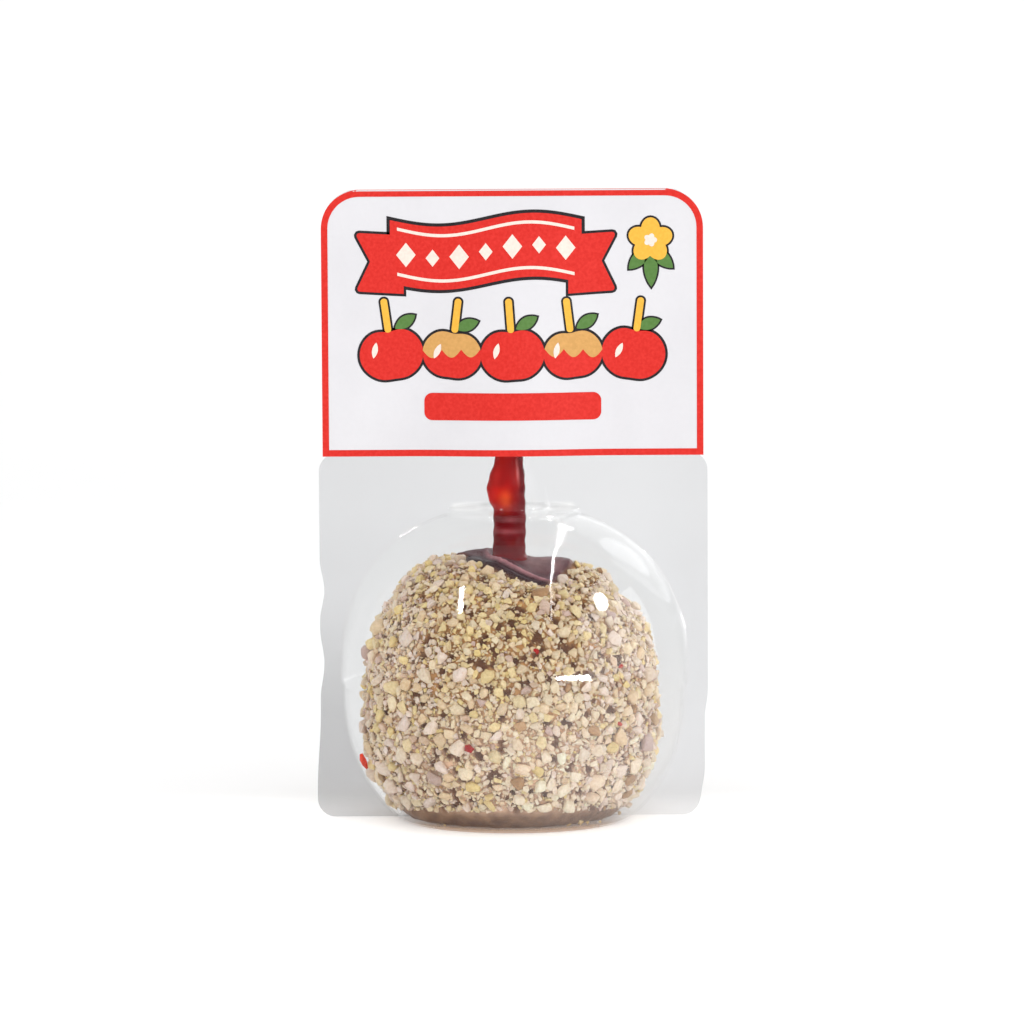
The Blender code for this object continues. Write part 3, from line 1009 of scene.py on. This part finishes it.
def apple_path(spacing):
    """The apple's plain half outline as (radius, height), and its unit normals, top to foot."""
    angles = np.linspace(math.pi / 2, -math.pi / 2, 2400)
    reach = np.where(angles >= 0, APPLE_TOP - APPLE_WAIST, APPLE_DROP)
    power = np.where(angles >= 0, SHOULDER_POWER, FOOT_POWER)
    radius = APPLE_RADIUS * np.abs(np.cos(angles)) ** (2 / power)
    height = APPLE_WAIST + np.sign(angles) * reach * np.abs(np.sin(angles)) ** (2 / power)
    keep = height > APPLE_BOTTOM
    path = np.stack([radius[keep], height[keep]], axis=1)
    foot = np.stack([np.linspace(path[-1, 0], 0.0, 60)[1:], np.full(59, APPLE_BOTTOM)], axis=1)
    path = np.concatenate([path, foot])
    length = np.sum(np.hypot(*np.diff(path, axis=0).T))
    path = along(path, np.linspace(0, 1, int(length / spacing)))
    tangent = np.gradient(path, axis=0)
    normal = np.stack([-tangent[:, 1], tangent[:, 0]], axis=1)
    normal /= np.linalg.norm(normal, axis=1, keepdims=True) + 1e-12
    return path, normal


def ridge_distance(x, y):
    """How far places are, in plan, from the fold of candy in front of the stick.

    It is negative on the fold's near side. The second value is 0 to 1 along the fold.
    """
    corners = np.stack([RIDGE_X, RIDGE_Y], axis=1) / 1000
    shares = np.linspace(0, len(corners) - 1, 60)
    path = np.stack([np.interp(shares, range(len(corners)), corners[:, k]) for k in (0, 1)], axis=1)
    for _ in range(6):
        path[1:-1] = (path[:-2] + path[1:-1] + path[2:]) / 3
    ahead = np.gradient(path, axis=0)
    gap_x = x[..., None] - path[:, 0]
    gap_y = y[..., None] - path[:, 1]
    distance = np.hypot(gap_x, gap_y)
    nearest = distance.argmin(axis=-1)
    pick = np.take_along_axis
    side = np.sign(
        ahead[nearest, 0] * pick(gap_y, nearest[..., None], -1)[..., 0]
        - ahead[nearest, 1] * pick(gap_x, nearest[..., None], -1)[..., 0]
    )
    return distance.min(axis=-1) * side, nearest / (len(path) - 1)


def bare_edge(heading):
    """Radius of the bare candy round the stick: small at the front left, larger at the back."""
    wobble = 0.0009 * np.sin(3 * heading + 0.6) + 0.0006 * np.sin(7 * heading + 2.0)
    front_right = 0.0050 * bump(from_heading(heading, math.radians(-42)), math.radians(75))
    back = 0.0066 * bump(from_heading(heading, math.radians(85)), math.radians(105))
    back_right = 0.0040 * bump(from_heading(heading, math.radians(60)), math.radians(60))
    return 0.0108 + front_right + back + back_right + wobble


def apple_surface(spacing=0.0007, columns=300):
    """Points of the caramel under the nuts and the bare candy at the top, row by row."""
    path, normal = apple_path(spacing)
    heading = np.linspace(0, math.tau, columns, endpoint=False)
    radius = path[:, :1]
    height = path[:, 1:]
    upper = height > APPLE_WAIST
    bare = 1 - ramp(radius, bare_edge(heading) - 0.0010, bare_edge(heading) + 0.0014)
    bare = np.where(upper, bare, 0.0)
    foot = 1 - ramp(height, 0.0012, 0.0050)
    inset = (NUT_LAYER * (1 - bare) + 0.0004 * bare) * (1 - foot)
    r = np.maximum(radius + normal[:, :1] * -inset, 0.0)
    z = height + normal[:, 1:] * -inset
    shoulder = bump(radius - HUMP_RADIUS, HUMP_SPREAD)
    change = (HUMP_HEIGHT * np.cos(2 * heading) - LEAN * np.cos(heading)) * shoulder
    change = change - DISH_DEPTH * np.exp(-((radius / DISH_RADIUS) ** 2))
    for depth, ring, half_width, towards, half_angle in HOLLOWS:
        around = bump(from_heading(heading, towards), half_angle)
        change = change - depth * around * bump(radius - ring, half_width)
    z = z + np.where(upper, change, 0.0)
    r = r * (1 + LOBE_SHARE * (np.cos(LOBES * heading) - 1))
    x = r * np.cos(heading)
    y = r * np.sin(heading)
    z = np.broadcast_to(z, x.shape).copy()
    distance, share = ridge_distance(x, y)
    ends = bump(share - 0.5, 0.56) ** 0.5
    fold = np.exp(-((distance / CREASE_WIDTH) ** 2)) * ends
    trough = np.exp(-(((distance + TROUGH_AWAY) / TROUGH_WIDTH) ** 2)) * ends
    z += np.where(upper, CREASE_HEIGHT * fold - TROUGH_DEPTH * trough, 0.0)
    collar = np.exp(-(((np.hypot(x, y) - STICK_RADIUS) / COLLAR_WIDTH) ** 2))
    z += np.where(upper, COLLAR_HEIGHT * collar, 0.0)
    z = np.maximum(z, APPLE_BOTTOM)
    near_side = ramp(-distance, 0.0003, 0.0011) * ramp(-y, -0.002, 0.001)
    return x, y, z, bare, fold, near_side


def high_in_front(points, x, z, across, up):
    """1 at a place on the apple's front, falling to 0 round it and on the whole back."""
    away = ((points[:, 0] - x) / across) ** 2 + ((points[:, 2] - z) / up) ** 2
    return np.exp(-away) * (points[:, 1] < 0)


def make_holes(points, bare, count=570):
    """Small places without nuts: a tree of their middles, and how open each core point lies."""
    rng = np.random.default_rng(11)
    reach = np.hypot(points[:, 0] - OFF_CENTRE, points[:, 1])
    weight = reach * (1 + 0.9 * high_in_front(points, -0.006, 0.043, 0.012, 0.011))
    weight *= (bare[:, 0] < 0.02) * (points[:, 2] > 0.004)
    chosen = points[rng.choice(len(points), count, replace=False, p=weight / weight.sum())]
    holes = kdtree.KDTree(count)
    for index, place in enumerate(chosen):
        holes.insert(place, index)
    holes.balance()
    gaps = np.array([holes.find(place)[2] for place in points])
    return holes, 1 - ramp(gaps[:, None], 0.0006, 0.0014)


def make_caramel(material):
    """The core under the nuts, with the bare dish round the stick. It gives the nuts' holes too."""
    x, y, z, bare, fold, near_side = apple_surface()
    rows, columns = x.shape
    points = np.stack([x + OFF_CENTRE, y, z], axis=-1).reshape(-1, 3)
    flat_bare = np.broadcast_to(bare, x.shape).reshape(-1, 1)
    for index, flat in enumerate(flat_bare[:, 0]):
        point = Vector(points[index])
        if point.z > APPLE_BOTTOM + 1e-5:
            rough = noise.noise(point * 900) * 0.00022 + noise.noise(point * 320) * 0.0003
            away = Vector((point.x - OFF_CENTRE, point.y, point.z - APPLE_WAIST)).normalized()
            points[index] += np.array(away) * rough * (1 - 0.65 * flat)
            points[index][2] = max(points[index][2], APPLE_BOTTOM)
    low = 1 - ramp(points[:, 2:3], 0.0030, 0.0060)
    holes, open_share = make_holes(points, flat_bare)
    points += (np.array((OFF_CENTRE, 0.0, APPLE_WAIST)) - points) * open_share * 0.012 * (1 - low)
    lowness = 1 - ramp(points[:, 2:3], *LOWER_HALF)
    # painted light: the caramel between the nuts is paler low down and to the sides
    painted_light_aside = np.maximum(lowness, ramp(np.abs(points[:, :1]), 0.016, 0.030))
    between = UNDER_NUTS + (PAINTED_LIGHT_BETWEEN - UNDER_NUTS) * painted_light_aside
    on_top = points[:, 2:3] > 0.04
    # painted sheen: a paler mauve on the dish right of and behind the stick
    painted_sheen_far_right = ramp(points[:, :1], 0.0010, 0.0045) * (1 - ramp(points[:, :1], 0.0090, 0.0125))
    painted_sheen_far_right = 0.85 * painted_sheen_far_right * ramp(points[:, 1:2], -0.0080, -0.0030) * flat_bare * on_top
    layers = (
        (HOLE, open_share),
        (DISH, flat_bare),
        (SHADOW, np.clip(near_side.reshape(-1, 1) * flat_bare * 1.3, 0, 1) * on_top),
        # painted highlight along the crest of the fold of candy
        (PAINTED_CREST_HIGHLIGHT, np.clip(fold.reshape(-1, 1) * flat_bare * 1.3, 0, 1) * on_top),
        (PAINTED_SHEEN_FAR_SIDE, painted_sheen_far_right),
        (FOOT, low),
    )
    tints = layered(between, layers)
    faces = grid_faces(rows, columns, closed=True)
    mesh = make_mesh("caramel_core", points, faces, tints)
    weld(mesh, 1e-6)
    core = add_piece("caramel_core", mesh, material, ["coated_apple"], sharp=60)
    return core, holes


# ---------------------------------------------------------------- nuts


def shards(kind, rng, count=40):
    """Blanks for broken bits: the hulls of random points in a ball, as points and triangles."""
    fewest, most = {"chunk": (16, 24), "bit": (12, 18), "grain": (9, 13), "crumb": (7, 9)}[kind]
    blanks = []
    for _ in range(count):
        spots = rng.normal(size=(rng.integers(fewest, most), 3))
        spots /= np.linalg.norm(spots, axis=1, keepdims=True)
        spots *= rng.uniform(0.66, 1.0, (len(spots), 1))
        shape = bmesh.new()
        for spot in spots:
            shape.verts.new(spot)
        hull = bmesh.ops.convex_hull(shape, input=shape.verts)
        left = [part for part in hull["geom_interior"] if isinstance(part, bmesh.types.BMVert)]
        bmesh.ops.delete(shape, geom=left, context="VERTS")
        if kind == "chunk":
            edges = list(shape.edges)
            bmesh.ops.bevel(shape, geom=edges, offset=0.05, segments=1, profile=0.5, affect="EDGES")
            bmesh.ops.triangulate(shape, faces=shape.faces)
        bmesh.ops.recalc_face_normals(shape, faces=shape.faces)
        shape.verts.index_update()
        corners = np.array([tuple(v.co) for v in shape.verts])
        triangles = np.array([[v.index for v in f.verts] for f in shape.faces])
        lowest_first = (triangles.argmin(axis=1)[:, None] + np.arange(3)) % 3
        triangles = np.take_along_axis(triangles, lowest_first, axis=1)
        triangles = triangles[np.lexsort(triangles.T)]  # the same order on each run
        shape.free()
        blanks.append((corners, triangles))
    return blanks


def surface_samples(piece, count, rng):
    """Random points all over a piece, with their normals, by area."""
    mesh = piece.data
    mesh.calc_loop_triangles()
    corners = np.empty(len(mesh.loop_triangles) * 3, np.int32)
    mesh.loop_triangles.foreach_get("vertices", corners)
    places = np.empty(len(mesh.vertices) * 3)
    mesh.vertices.foreach_get("co", places)
    places = places.reshape(-1, 3)
    corners = places[corners.reshape(-1, 3)]
    cross = np.cross(corners[:, 1] - corners[:, 0], corners[:, 2] - corners[:, 0])
    area = np.linalg.norm(cross, axis=1)
    chosen = rng.choice(len(area), count, p=area / area.sum())
    first = np.sqrt(rng.random(count))
    second = rng.random(count)
    weights = np.stack([1 - first, first * (1 - second), first * second], axis=1)
    points = np.einsum("nk,nkc->nc", weights, corners[chosen])
    normals = cross[chosen] / area[chosen][:, None]
    return points, normals


class Spacing:
    """Which places are taken, in cells, so that bits lie beside each other and not inside."""

    CELL = 0.003

    def __init__(self):
        self.cells = {}

    def cell(self, point):
        return tuple(int(math.floor(c / self.CELL)) for c in point)

    def fits(self, point, radius, closeness):
        key = self.cell(point)
        for shift in itertools.product((-1, 0, 1), repeat=3):
            near = tuple(k + s for k, s in zip(key, shift))
            for other, size in self.cells.get(near, ()):
                gap = (radius + size) * closeness
                if sum((a - b) ** 2 for a, b in zip(point, other)) < gap * gap:
                    return False
        return True

    def take(self, point, radius):
        self.cells.setdefault(self.cell(point), []).append((tuple(point), radius))


def nut_tints(points, rng):
    """Cream to tan, yellower high on the front, and some toasted.

    Pink and mauve bits are more common to the sides, as painted sheen and painted shade, and the low
    nuts are painted paler, lighter to the right and darker to the left, as painted light.
    """
    count = len(points)
    patch = np.array([noise.noise(Vector(p) * 75 + Vector((4.0, 0, 0))) for p in points])
    golden = high_in_front(points, -0.005, 0.044, 0.013, 0.013)
    painted_light_aside = ramp(np.abs(points[:, 0]), 0.008, 0.026)
    pick = rng.random(count)
    share = rng.random((count, 1)) ** 1.5
    tints = CREAM * (1 - share) + TAN * share
    lowness = 1 - ramp(points[:, 2:3], *LOWER_HALF)
    # painted light: the low nuts are paler, most of all to the right
    painted_light_pale_share = 0.90 * lowness * ramp(points[:, :1], -0.022, 0.012)
    tints = tints * (1 - painted_light_pale_share) + (tints + PAINTED_LIGHT_PALE - TAN) * painted_light_pale_share
    blend = rng.uniform(0.3, 1.0, (count, 1))
    is_yellow = pick < 0.12 + 0.22 * np.clip(patch, 0, 1) + 0.40 * golden
    # painted sheen: pink bits are more common to the sides
    is_pink = (pick > 0.80 - 0.25 * np.clip(-patch, 0, 1) + 0.15 * golden - 0.35 * painted_light_aside) & ~is_yellow
    for colour, chosen in ((YELLOW, is_yellow), (PINK_AND_PAINTED_SHEEN, is_pink)):
        tints[chosen] = (colour * blend + CREAM * (1 - blend))[chosen]
    # painted shade: mauve bits are more common to the sides
    for colour, part in ((MAUVE_AND_PAINTED_SHADE, 0.05 + 0.05 * painted_light_aside), (TOASTED, 0.018)):
        chosen = rng.random(count) < part
        tints[chosen] = (colour + (TAN - colour) * share)[chosen]
    # painted light and shade: the low nuts a little brighter, and darker to the left
    painted_light_low_lift = 1 + (0.03 - 0.08 * ramp(-points[:, :1], 0.004, 0.020)) * lowness
    return np.minimum(tints * painted_light_low_lift * rng.uniform(0.82, 1.0, (count, 1)), 0.97)


def chunk_mesh(name, kind, points, normals, sizes, tints, rng, sink, long_axis=None):
    """Many broken bits in one mesh: blanks stretched, turned and laid on a surface.

    The bits lie all ways round, or with their longest side along long_axis.
    """
    blanks = shards(kind, rng)
    count = len(points)
    axes = np.stack(
        [np.ones(count), rng.uniform(0.62, 0.98, count), rng.uniform(0.45, 0.80, count)], axis=1
    )
    lean = normals + rng.normal(scale=0.35, size=(count, 3))
    lean /= np.linalg.norm(lean, axis=1, keepdims=True)
    across = rng.normal(size=(count, 3)) if long_axis is None else np.cross(long_axis, lean)
    side = np.cross(lean, across)
    side /= np.linalg.norm(side, axis=1, keepdims=True)
    third = np.cross(lean, side)
    basis = np.stack([side, third, lean], axis=1)
    centres = points + normals * (sizes * axes[:, 2] / 2 * (1 - sink))[:, None]
    pick = rng.integers(len(blanks), size=count)
    places, faces, colours = [], [], []
    first = 0
    for index, (corners, triangles) in enumerate(blanks):
        these = np.where(pick == index)[0]
        local = corners[None] * (axes[these] * sizes[these, None] / 2)[:, None, :]
        placed = np.einsum("nvk,nkc->nvc", local, basis[these]) + centres[these, None, :]
        starts = first + np.arange(len(these))[:, None, None] * len(corners)
        places.append(placed.reshape(-1, 3))
        faces.append((triangles[None] + starts).reshape(-1, 3))
        colours.append(np.repeat(tints[these], len(corners), axis=0))
        first += len(these) * len(corners)
    return make_mesh(name, np.concatenate(places), np.concatenate(faces), np.concatenate(colours))


def nut_room(point, size):
    """Where nuts stick: not in the bare dish, and not on the foot, which is higher bare in front."""
    x, y, z = point
    if z < 0.0019 + 0.108 * abs(y) + size * 0.35:
        return 0.0
    if z > APPLE_WAIST + 0.02:
        heading = math.atan2(y, x - OFF_CENTRE)
        radius = math.hypot(x - OFF_CENTRE, y)
        edge = float(bare_edge(heading))
        return float(ramp(radius, edge - 0.0002, edge + 0.0014))
    return 1.0


def fine_share(point):
    """Share of the big chunks that are left out: most of them high on the front."""
    return 0.15 + 0.70 * float(ramp(point[2], 0.022, 0.040)) * float(ramp(-point[1], -0.010, 0.015))


def make_nuts(core, holes):
    """Four sizes of broken nut, the large ones first, so that the small ones fill in between."""
    rng = np.random.default_rng(20)
    material = nut_material("chopped_nut")
    taken = Spacing()
    kinds = [
        # name, kind, samples, smallest, largest, closeness, most, sink
        ("nut_chunks", "chunk", 14000, 0.0030, 0.0052, 0.80, 640, 0.34),
        ("nut_bits", "bit", 34000, 0.0018, 0.0034, 0.60, 3900, 0.22),
        ("nut_grains", "grain", 50000, 0.0012, 0.0020, 0.52, 7000, 0.04),
        ("nut_crumbs", "crumb", 40000, 0.0007, 0.0013, 0.48, 7500, -0.10),
    ]
    for name, kind, samples, smallest, largest, closeness, most, sink in kinds:
        points, normals = surface_samples(core, samples, rng)
        sizes = smallest + (largest - smallest) * rng.random(samples) ** 1.6
        if name == "nut_chunks":
            sizes *= 1.22 - 0.22 * ramp(points[:, 2], 0.012, 0.028)
        chosen = []
        for index in range(samples):
            if len(chosen) >= most:
                break
            room = nut_room(points[index], sizes[index])
            if room <= rng.random() * 0.999:
                continue
            if name == "nut_chunks" and rng.random() < fine_share(points[index]):
                continue
            radius = sizes[index] * 0.40
            if holes.find(points[index])[2] < 0.0006 + 0.28 * sizes[index]:
                continue
            if taken.fits(points[index], radius, closeness):
                taken.take(points[index], radius)
                chosen.append(index)
        chosen = np.array(chosen)
        tints = nut_tints(points[chosen], rng)
        mesh = chunk_mesh(
            name, kind, points[chosen], normals[chosen], sizes[chosen], tints, rng, sink
        )
        add_piece(name, mesh, material, sharp=40)
        print(name, len(chosen), "bits", len(mesh.polygons), "faces")


# ---------------------------------------------------------------- stick


def make_stick(material):
    """The stick in its candy: a dark thin coat, and a thick drip above the neck painted bright."""
    columns = 72
    rows = ((STICK_HIGH.z, 0.0805, 60), (0.0803, 0.0640, 150), (0.0637, STICK_LOW.z, 110))
    heights = np.concatenate([np.linspace(*row) for row in rows])
    heading = np.linspace(0, math.tau, columns, endpoint=False)
    h = heights[:, None]
    below = h < DRIP_HEIGHT
    reach = np.where(below, DRIP_DROP, DRIP_RISE)
    swell = bump(h - DRIP_HEIGHT, reach) ** np.where(below, 0.5, 0.6)
    narrowing = 1.75 - 0.75 * ramp(DRIP_HEIGHT - h, 0.0, 0.0048)
    drip = DRIP_DEPTH * swell * bump(from_heading(heading, DRIP_HEADING), narrowing)
    slow = 0.00009 * np.sin(h * 1900 + 2 * np.sin(heading)) + 0.00008 * np.sin(3 * heading + h * 500)
    coat = 0.0006 * ramp(h, 0.0735, 0.0810)  # the candy coat is thinner higher up
    radius = STICK_RADIUS - 0.00002 - coat + drip + slow
    flare = 0.0009 * np.exp(-((np.maximum(h - 0.0575, 0.0)) / 0.0012) ** 2)
    radius = np.minimum(radius + flare * (h > 0.0560), 0.0064)
    x = OFF_CENTRE + radius * np.cos(heading)
    y = radius * np.sin(heading)
    z = np.broadcast_to(h, x.shape)
    points = np.stack([x, y, z], axis=-1).reshape(-1, 3)

    def spot(centre, half_angle, level, half_height):
        """1 at a place on the stick, given by its heading and height, fading all round it."""
        across = from_heading(heading, math.radians(centre)) / half_angle
        return np.exp(-(across**2) - ((h - level) / half_height) ** 2)[..., None]

    thick = np.clip(drip / 0.0012, 0, 1)
    upper = ramp(h, 0.0675, 0.0710) * (1 - ramp(h, 0.0850, 0.0880))
    front = bump(from_heading(heading, math.radians(236)), 1.5)
    # painted light: the thick drip and the stick's upper front are painted bright, as lit through
    body = np.clip(np.maximum(thick, 0.95 * upper * front), 0, 1)
    tints = DARK_CANDY_AND_PAINTED_SHADE + (PAINTED_LIT_CANDY - DARK_CANDY_AND_PAINTED_SHADE) * body[..., None]
    layers = (
        # painted shade: a darker band down the drip
        (DARK_CANDY_AND_PAINTED_SHADE, 0.50 * spot(252, 0.26, 0.0765, 0.0028)),
        # painted light: an orange glow in the drip's thick head
        (PAINTED_GLOW_ORANGE, 0.95 * spot(258, 0.30, 0.0713, 0.0017)),
        # painted light: a brighter part on the drip's right
        (PAINTED_LIT_CANDY, 0.60 * spot(300, 0.22, 0.0765, 0.0040)),
        # painted highlight: a pale rosy streak on the drip's right
        (PAINTED_HIGHLIGHT_ROSY, 0.75 * spot(306, 0.11, 0.0776, 0.0024)),
        # painted reflections: two rosy bands on the stick's front near the neck
        (PAINTED_REFLECTION_ROSY, 0.60 * spot(270, 1.20, 0.0642, 0.0007)),
        (PAINTED_REFLECTION_ROSY, 0.50 * spot(280, 0.60, 0.0668, 0.0005)),
    )
    tints = layered(tints, layers)
    faces = grid_faces(len(heights), columns, closed=True)
    faces.append(tuple(range(columns)))
    bottom = (len(heights) - 1) * columns
    faces.append(tuple(range(bottom + columns - 1, bottom - 1, -1)))
    mesh = make_mesh("candied_stick", points, faces, tints.reshape(-1, 3))
    weld(mesh)
    add_piece("candied_stick", mesh, material, ["stick"], sharp=50)


# ---------------------------------------------------------------- loose bits


def make_loose_bits(core, candy):
    """A crumb of candy stuck to the pack's wall, chips of candy in the nuts and crumbs on the base."""
    rng = np.random.default_rng(5)
    radius = bubble_radius(0.0134) - SHEET - 0.0008
    stuck_x = -0.0340
    stuck = np.array([[stuck_x, -math.sqrt(radius**2 - stuck_x**2), 0.0134]])
    outwards = np.array([[stuck_x, stuck[0, 1], 0.0]]) / radius
    chip_tint = np.array([[0.88, 0.060, 0.015]])
    mesh = chunk_mesh(
        "stuck_crumb", "bit", stuck, -outwards, np.array([0.0040]), chip_tint, rng, 0.6, (0.25, 0.0, 1.0)
    )
    middle = Matrix.Translation(stuck[0])
    mesh.transform(middle @ Matrix.Diagonal((0.75, 0.75, 1.45, 1.0)) @ middle.inverted())
    add_piece("stuck_crumb", mesh, candy, sharp=40)

    core_points = np.array([tuple(v.co) for v in core.data.vertices])
    core_normals = np.array([tuple(v.normal) for v in core.data.vertices])
    chosen = []
    for x, z in ((-0.0092, 0.0198), (0.0042, 0.0406), (0.0222, 0.0362), (0.0222, 0.0235)):
        distance = np.hypot(core_points[:, 0] - x, core_points[:, 2] - z)
        chosen.append(np.where(core_points[:, 1] < 0, distance, 1.0).argmin())
    chip_sizes = np.array([0.0036, 0.0022, 0.0018, 0.0020])
    chip_tints = np.array([[0.42, 0.010, 0.008]] * 2 + [[0.55, 0.060, 0.030]] * 2)
    places, normals = core_points[chosen], core_normals[chosen]
    mesh = chunk_mesh(
        "candy_chips", "bit", places, normals, chip_sizes, chip_tints, rng, -0.9, (1.0, 0.0, 0.2)
    )
    add_piece("candy_chips", mesh, candy, sharp=40)

    nut = nut_material("loose_nut")
    angles = math.radians(270) + np.array([-0.95, -0.86, -0.70, 0.55, 0.66, 0.78, 0.9, 1.4, 2.4, 3.3])
    reach = np.array([232, 224, 240, 226, 234, 228, 240, 236, 238, 232]) / 10000
    count = len(reach)
    floor = np.stack([reach * np.cos(angles), reach * np.sin(angles), np.full(count, SHEET)], axis=1)
    sizes = np.array([22, 14, 11, 18, 24, 12, 10, 15, 13, 19]) / 10000
    up = np.tile([[0.0, 0.0, 1.0]], (count, 1))
    golden = np.array([[0.80, 0.58, 0.26]]) * (0.85 + 0.3 * rng.random((count, 1)))
    mesh = chunk_mesh("floor_crumbs", "bit", floor, up, sizes, golden, rng, -0.15)
    add_piece("floor_crumbs", mesh, nut, sharp=35)


# ---------------------------------------------------------------- stage, lights and camera


def make_camera():
    """In front of the pack and a little above it, through a long lens."""
    distance = 1.5
    elevation = math.radians(6.2)
    target = Vector((-0.0003, 0.0, 0.0682))
    view_width = 0.2276
    data = bpy.data.cameras.new("camera")
    data.sensor_width = 36.0
    data.lens = data.sensor_width * distance / view_width
    data.clip_start = 0.05
    camera = bpy.data.objects.new("camera", data)
    bpy.context.scene.collection.objects.link(camera)
    camera.location = target + distance * Vector((0.0, -math.cos(elevation), math.sin(elevation)))
    facing = (target - camera.location).to_track_quat("-Z", "Y")
    roll = Matrix.Rotation(math.radians(-0.3), 4, "Z").to_quaternion()
    camera.rotation_euler = (facing @ roll).to_euler()
    bpy.context.scene.camera = camera


def make_stage():
    """A pale floor that sweeps up into a backdrop, with a painted glow on the floor at the pack."""
    look = Look("pale_paper")
    look.surface((0.93, 0.93, 0.93), 0.9, 0.1)
    centred = {0: look.place(), 1: (0.77, 1.0, 0.0), 2: (0.0, 0.045, 0.0)}
    oval = look.add("VectorMath", centred, operation="MULTIPLY_ADD").outputs["Vector"]
    away = look.add("VectorMath", {0: oval}, operation="LENGTH").outputs["Value"]
    in_front = look.rise(look.axes()["Y"], 0.040, -0.002)
    look.put(look.shader.inputs["Emission Color"], (1.0, 1.0, 1.0))
    # painted light: the floor glows round and in front of the pack, which washes out its shadow
    painted_glow = look.product(look.rise(away, 0.150, 0.075), in_front, 0.30)
    look.put(look.shader.inputs["Emission Strength"], painted_glow)
    reach, bend_start, bend, wall, half_width = 2.4, 0.7, 0.5, 2.6, 3.0
    profile = [(-reach, 0.0), (bend_start, 0.0)]
    for angle in np.linspace(0.0, math.pi / 2, 17)[1:]:
        profile.append((bend_start + bend * math.sin(angle), bend * (1 - math.cos(angle))))
    profile.append((bend_start + bend, wall))
    points = [(x, y, z) for y, z in profile for x in (-half_width, half_width)]
    mesh = make_mesh("backdrop", points, grid_faces(len(profile), 2))
    mesh.shade_smooth()
    stage = bpy.data.objects.new("backdrop", mesh)
    bpy.context.scene.collection.objects.link(stage)
    stage.data.materials.append(look.material)


LIT_POINT = Vector((0.0, -0.02, 0.05))


def away_from_pack(azimuth, elevation, distance):
    """A place seen from the pack. Azimuth 0 is the front and 90 the right."""
    across, up = math.radians(azimuth), math.radians(elevation)
    away = Vector((math.sin(across) * math.cos(up), -math.cos(across) * math.cos(up), math.sin(up)))
    return LIT_POINT + away * distance


def add_lamp(name, start, end, width, radiance, distance=1.0):
    """A rectangular lamp that faces the pack, between two places at the same distance from it."""
    first = away_from_pack(*start, distance)
    last = away_from_pack(*end, distance)
    middle = (first + last) / 2
    along_it = (last - first).normalized()
    out = (middle - LIT_POINT).normalized()
    data = bpy.data.lights.new(name, "AREA")
    data.shape = "RECTANGLE"
    data.size = (last - first).length
    data.size_y = width
    data.energy = radiance * math.pi * data.size * data.size_y
    light = bpy.data.objects.new(name, data)
    bpy.context.scene.collection.objects.link(light)
    light.location = middle
    light.rotation_euler = Matrix((along_it, out.cross(along_it), out)).transposed().to_euler()
    light.visible_camera = False
    return light


def make_lights():
    """Soft light all round, and lamps that only mirror.

    It gives back the lamps that the card mustn't hide, and those that only the clear plastic mirrors.
    """
    world = bpy.data.worlds.new("studio")
    world.use_nodes = True
    world.node_tree.nodes["Background"].inputs["Color"].default_value = (1.0, 1.0, 1.0, 1.0)
    world.node_tree.nodes["Background"].inputs["Strength"].default_value = 1.05
    bpy.context.scene.world = world
    add_lamp("overhead", (90, 65), (-90, 65), 1.0, 0.25, 1.1)
    fill = add_lamp("fill", (0, 6), (64, 6), 0.6, 1.20, 1.2)
    fill.visible_glossy = False
    mirrored = [
        # name, start, end, width, radiance
        ("right_veil", (50, 4), (112, 4), 0.95, 4.0),
        ("left_veil", (-66, 4), (-122, 4), 0.95, 0.9),
        ("patch", (139, 38), (151, 15), 0.30, 3.4),
        ("patch_glow", (126, 38), (172, 6), 0.60, 1.5),
        ("spot", (83, 40), (72, 31), 0.17, 60.0),
        ("left_streak", (-44, 36), (-59, 54.5), 0.045, 150.0),
        ("long_streak", (29, 32), (46, 59), 0.024, 13.0),
        ("long_streak_bend", (46, 59), (112, 70.5), 0.014, 120.0),
        ("long_streak_neck", (116, 70), (142.5, 62), 0.012, 120.0),
        ("long_streak_top", (142.5, 62), (166, 38), 0.032, 200.0),
        ("long_streak_glow", (142.5, 62), (166, 38), 0.100, 18.0),
        ("low_streak", (28, 0), (52, -1), 0.030, 160.0),
    ]
    past_card, narrow = [], []
    for name, start, end, width, radiance in mirrored:
        lamp = add_lamp(name, start, end, width, radiance)
        lamp.visible_diffuse = False
        if name in ("patch", "patch_glow", "spot"):
            lamp.data.shape = "ELLIPSE"
        if name.startswith("long_streak_"):
            past_card.append(lamp)
        if name == "spot" or "streak" in name:
            narrow.append(lamp)
    return past_card, narrow


def main():
    scene = bpy.context.scene
    scene.view_settings.view_transform = "Standard"
    scene.cycles.transparent_max_bounces = 32  # a ray low over the neck crosses many clear faces
    make_camera()
    make_stage()
    past_card, narrow = make_lights()
    clear = clear_plastic_material()
    candy = candy_material()
    halves = make_clear_pack(clear)
    make_header_card(card_material())
    make_print()
    core, holes = make_caramel(caramel_material())
    make_nuts(core, holes)
    make_stick(candy)
    make_loose_bits(core, candy)
    blockers = bpy.data.collections.new("lamp_blockers")
    blockers.objects.link(core)
    for lamp in past_card:
        lamp.light_linking.blocker_collection = blockers
    receivers = bpy.data.collections.new("lamp_receivers")
    for half in halves:
        receivers.objects.link(half)
    for lamp in narrow:
        lamp.light_linking.receiver_collection = receivers


main()
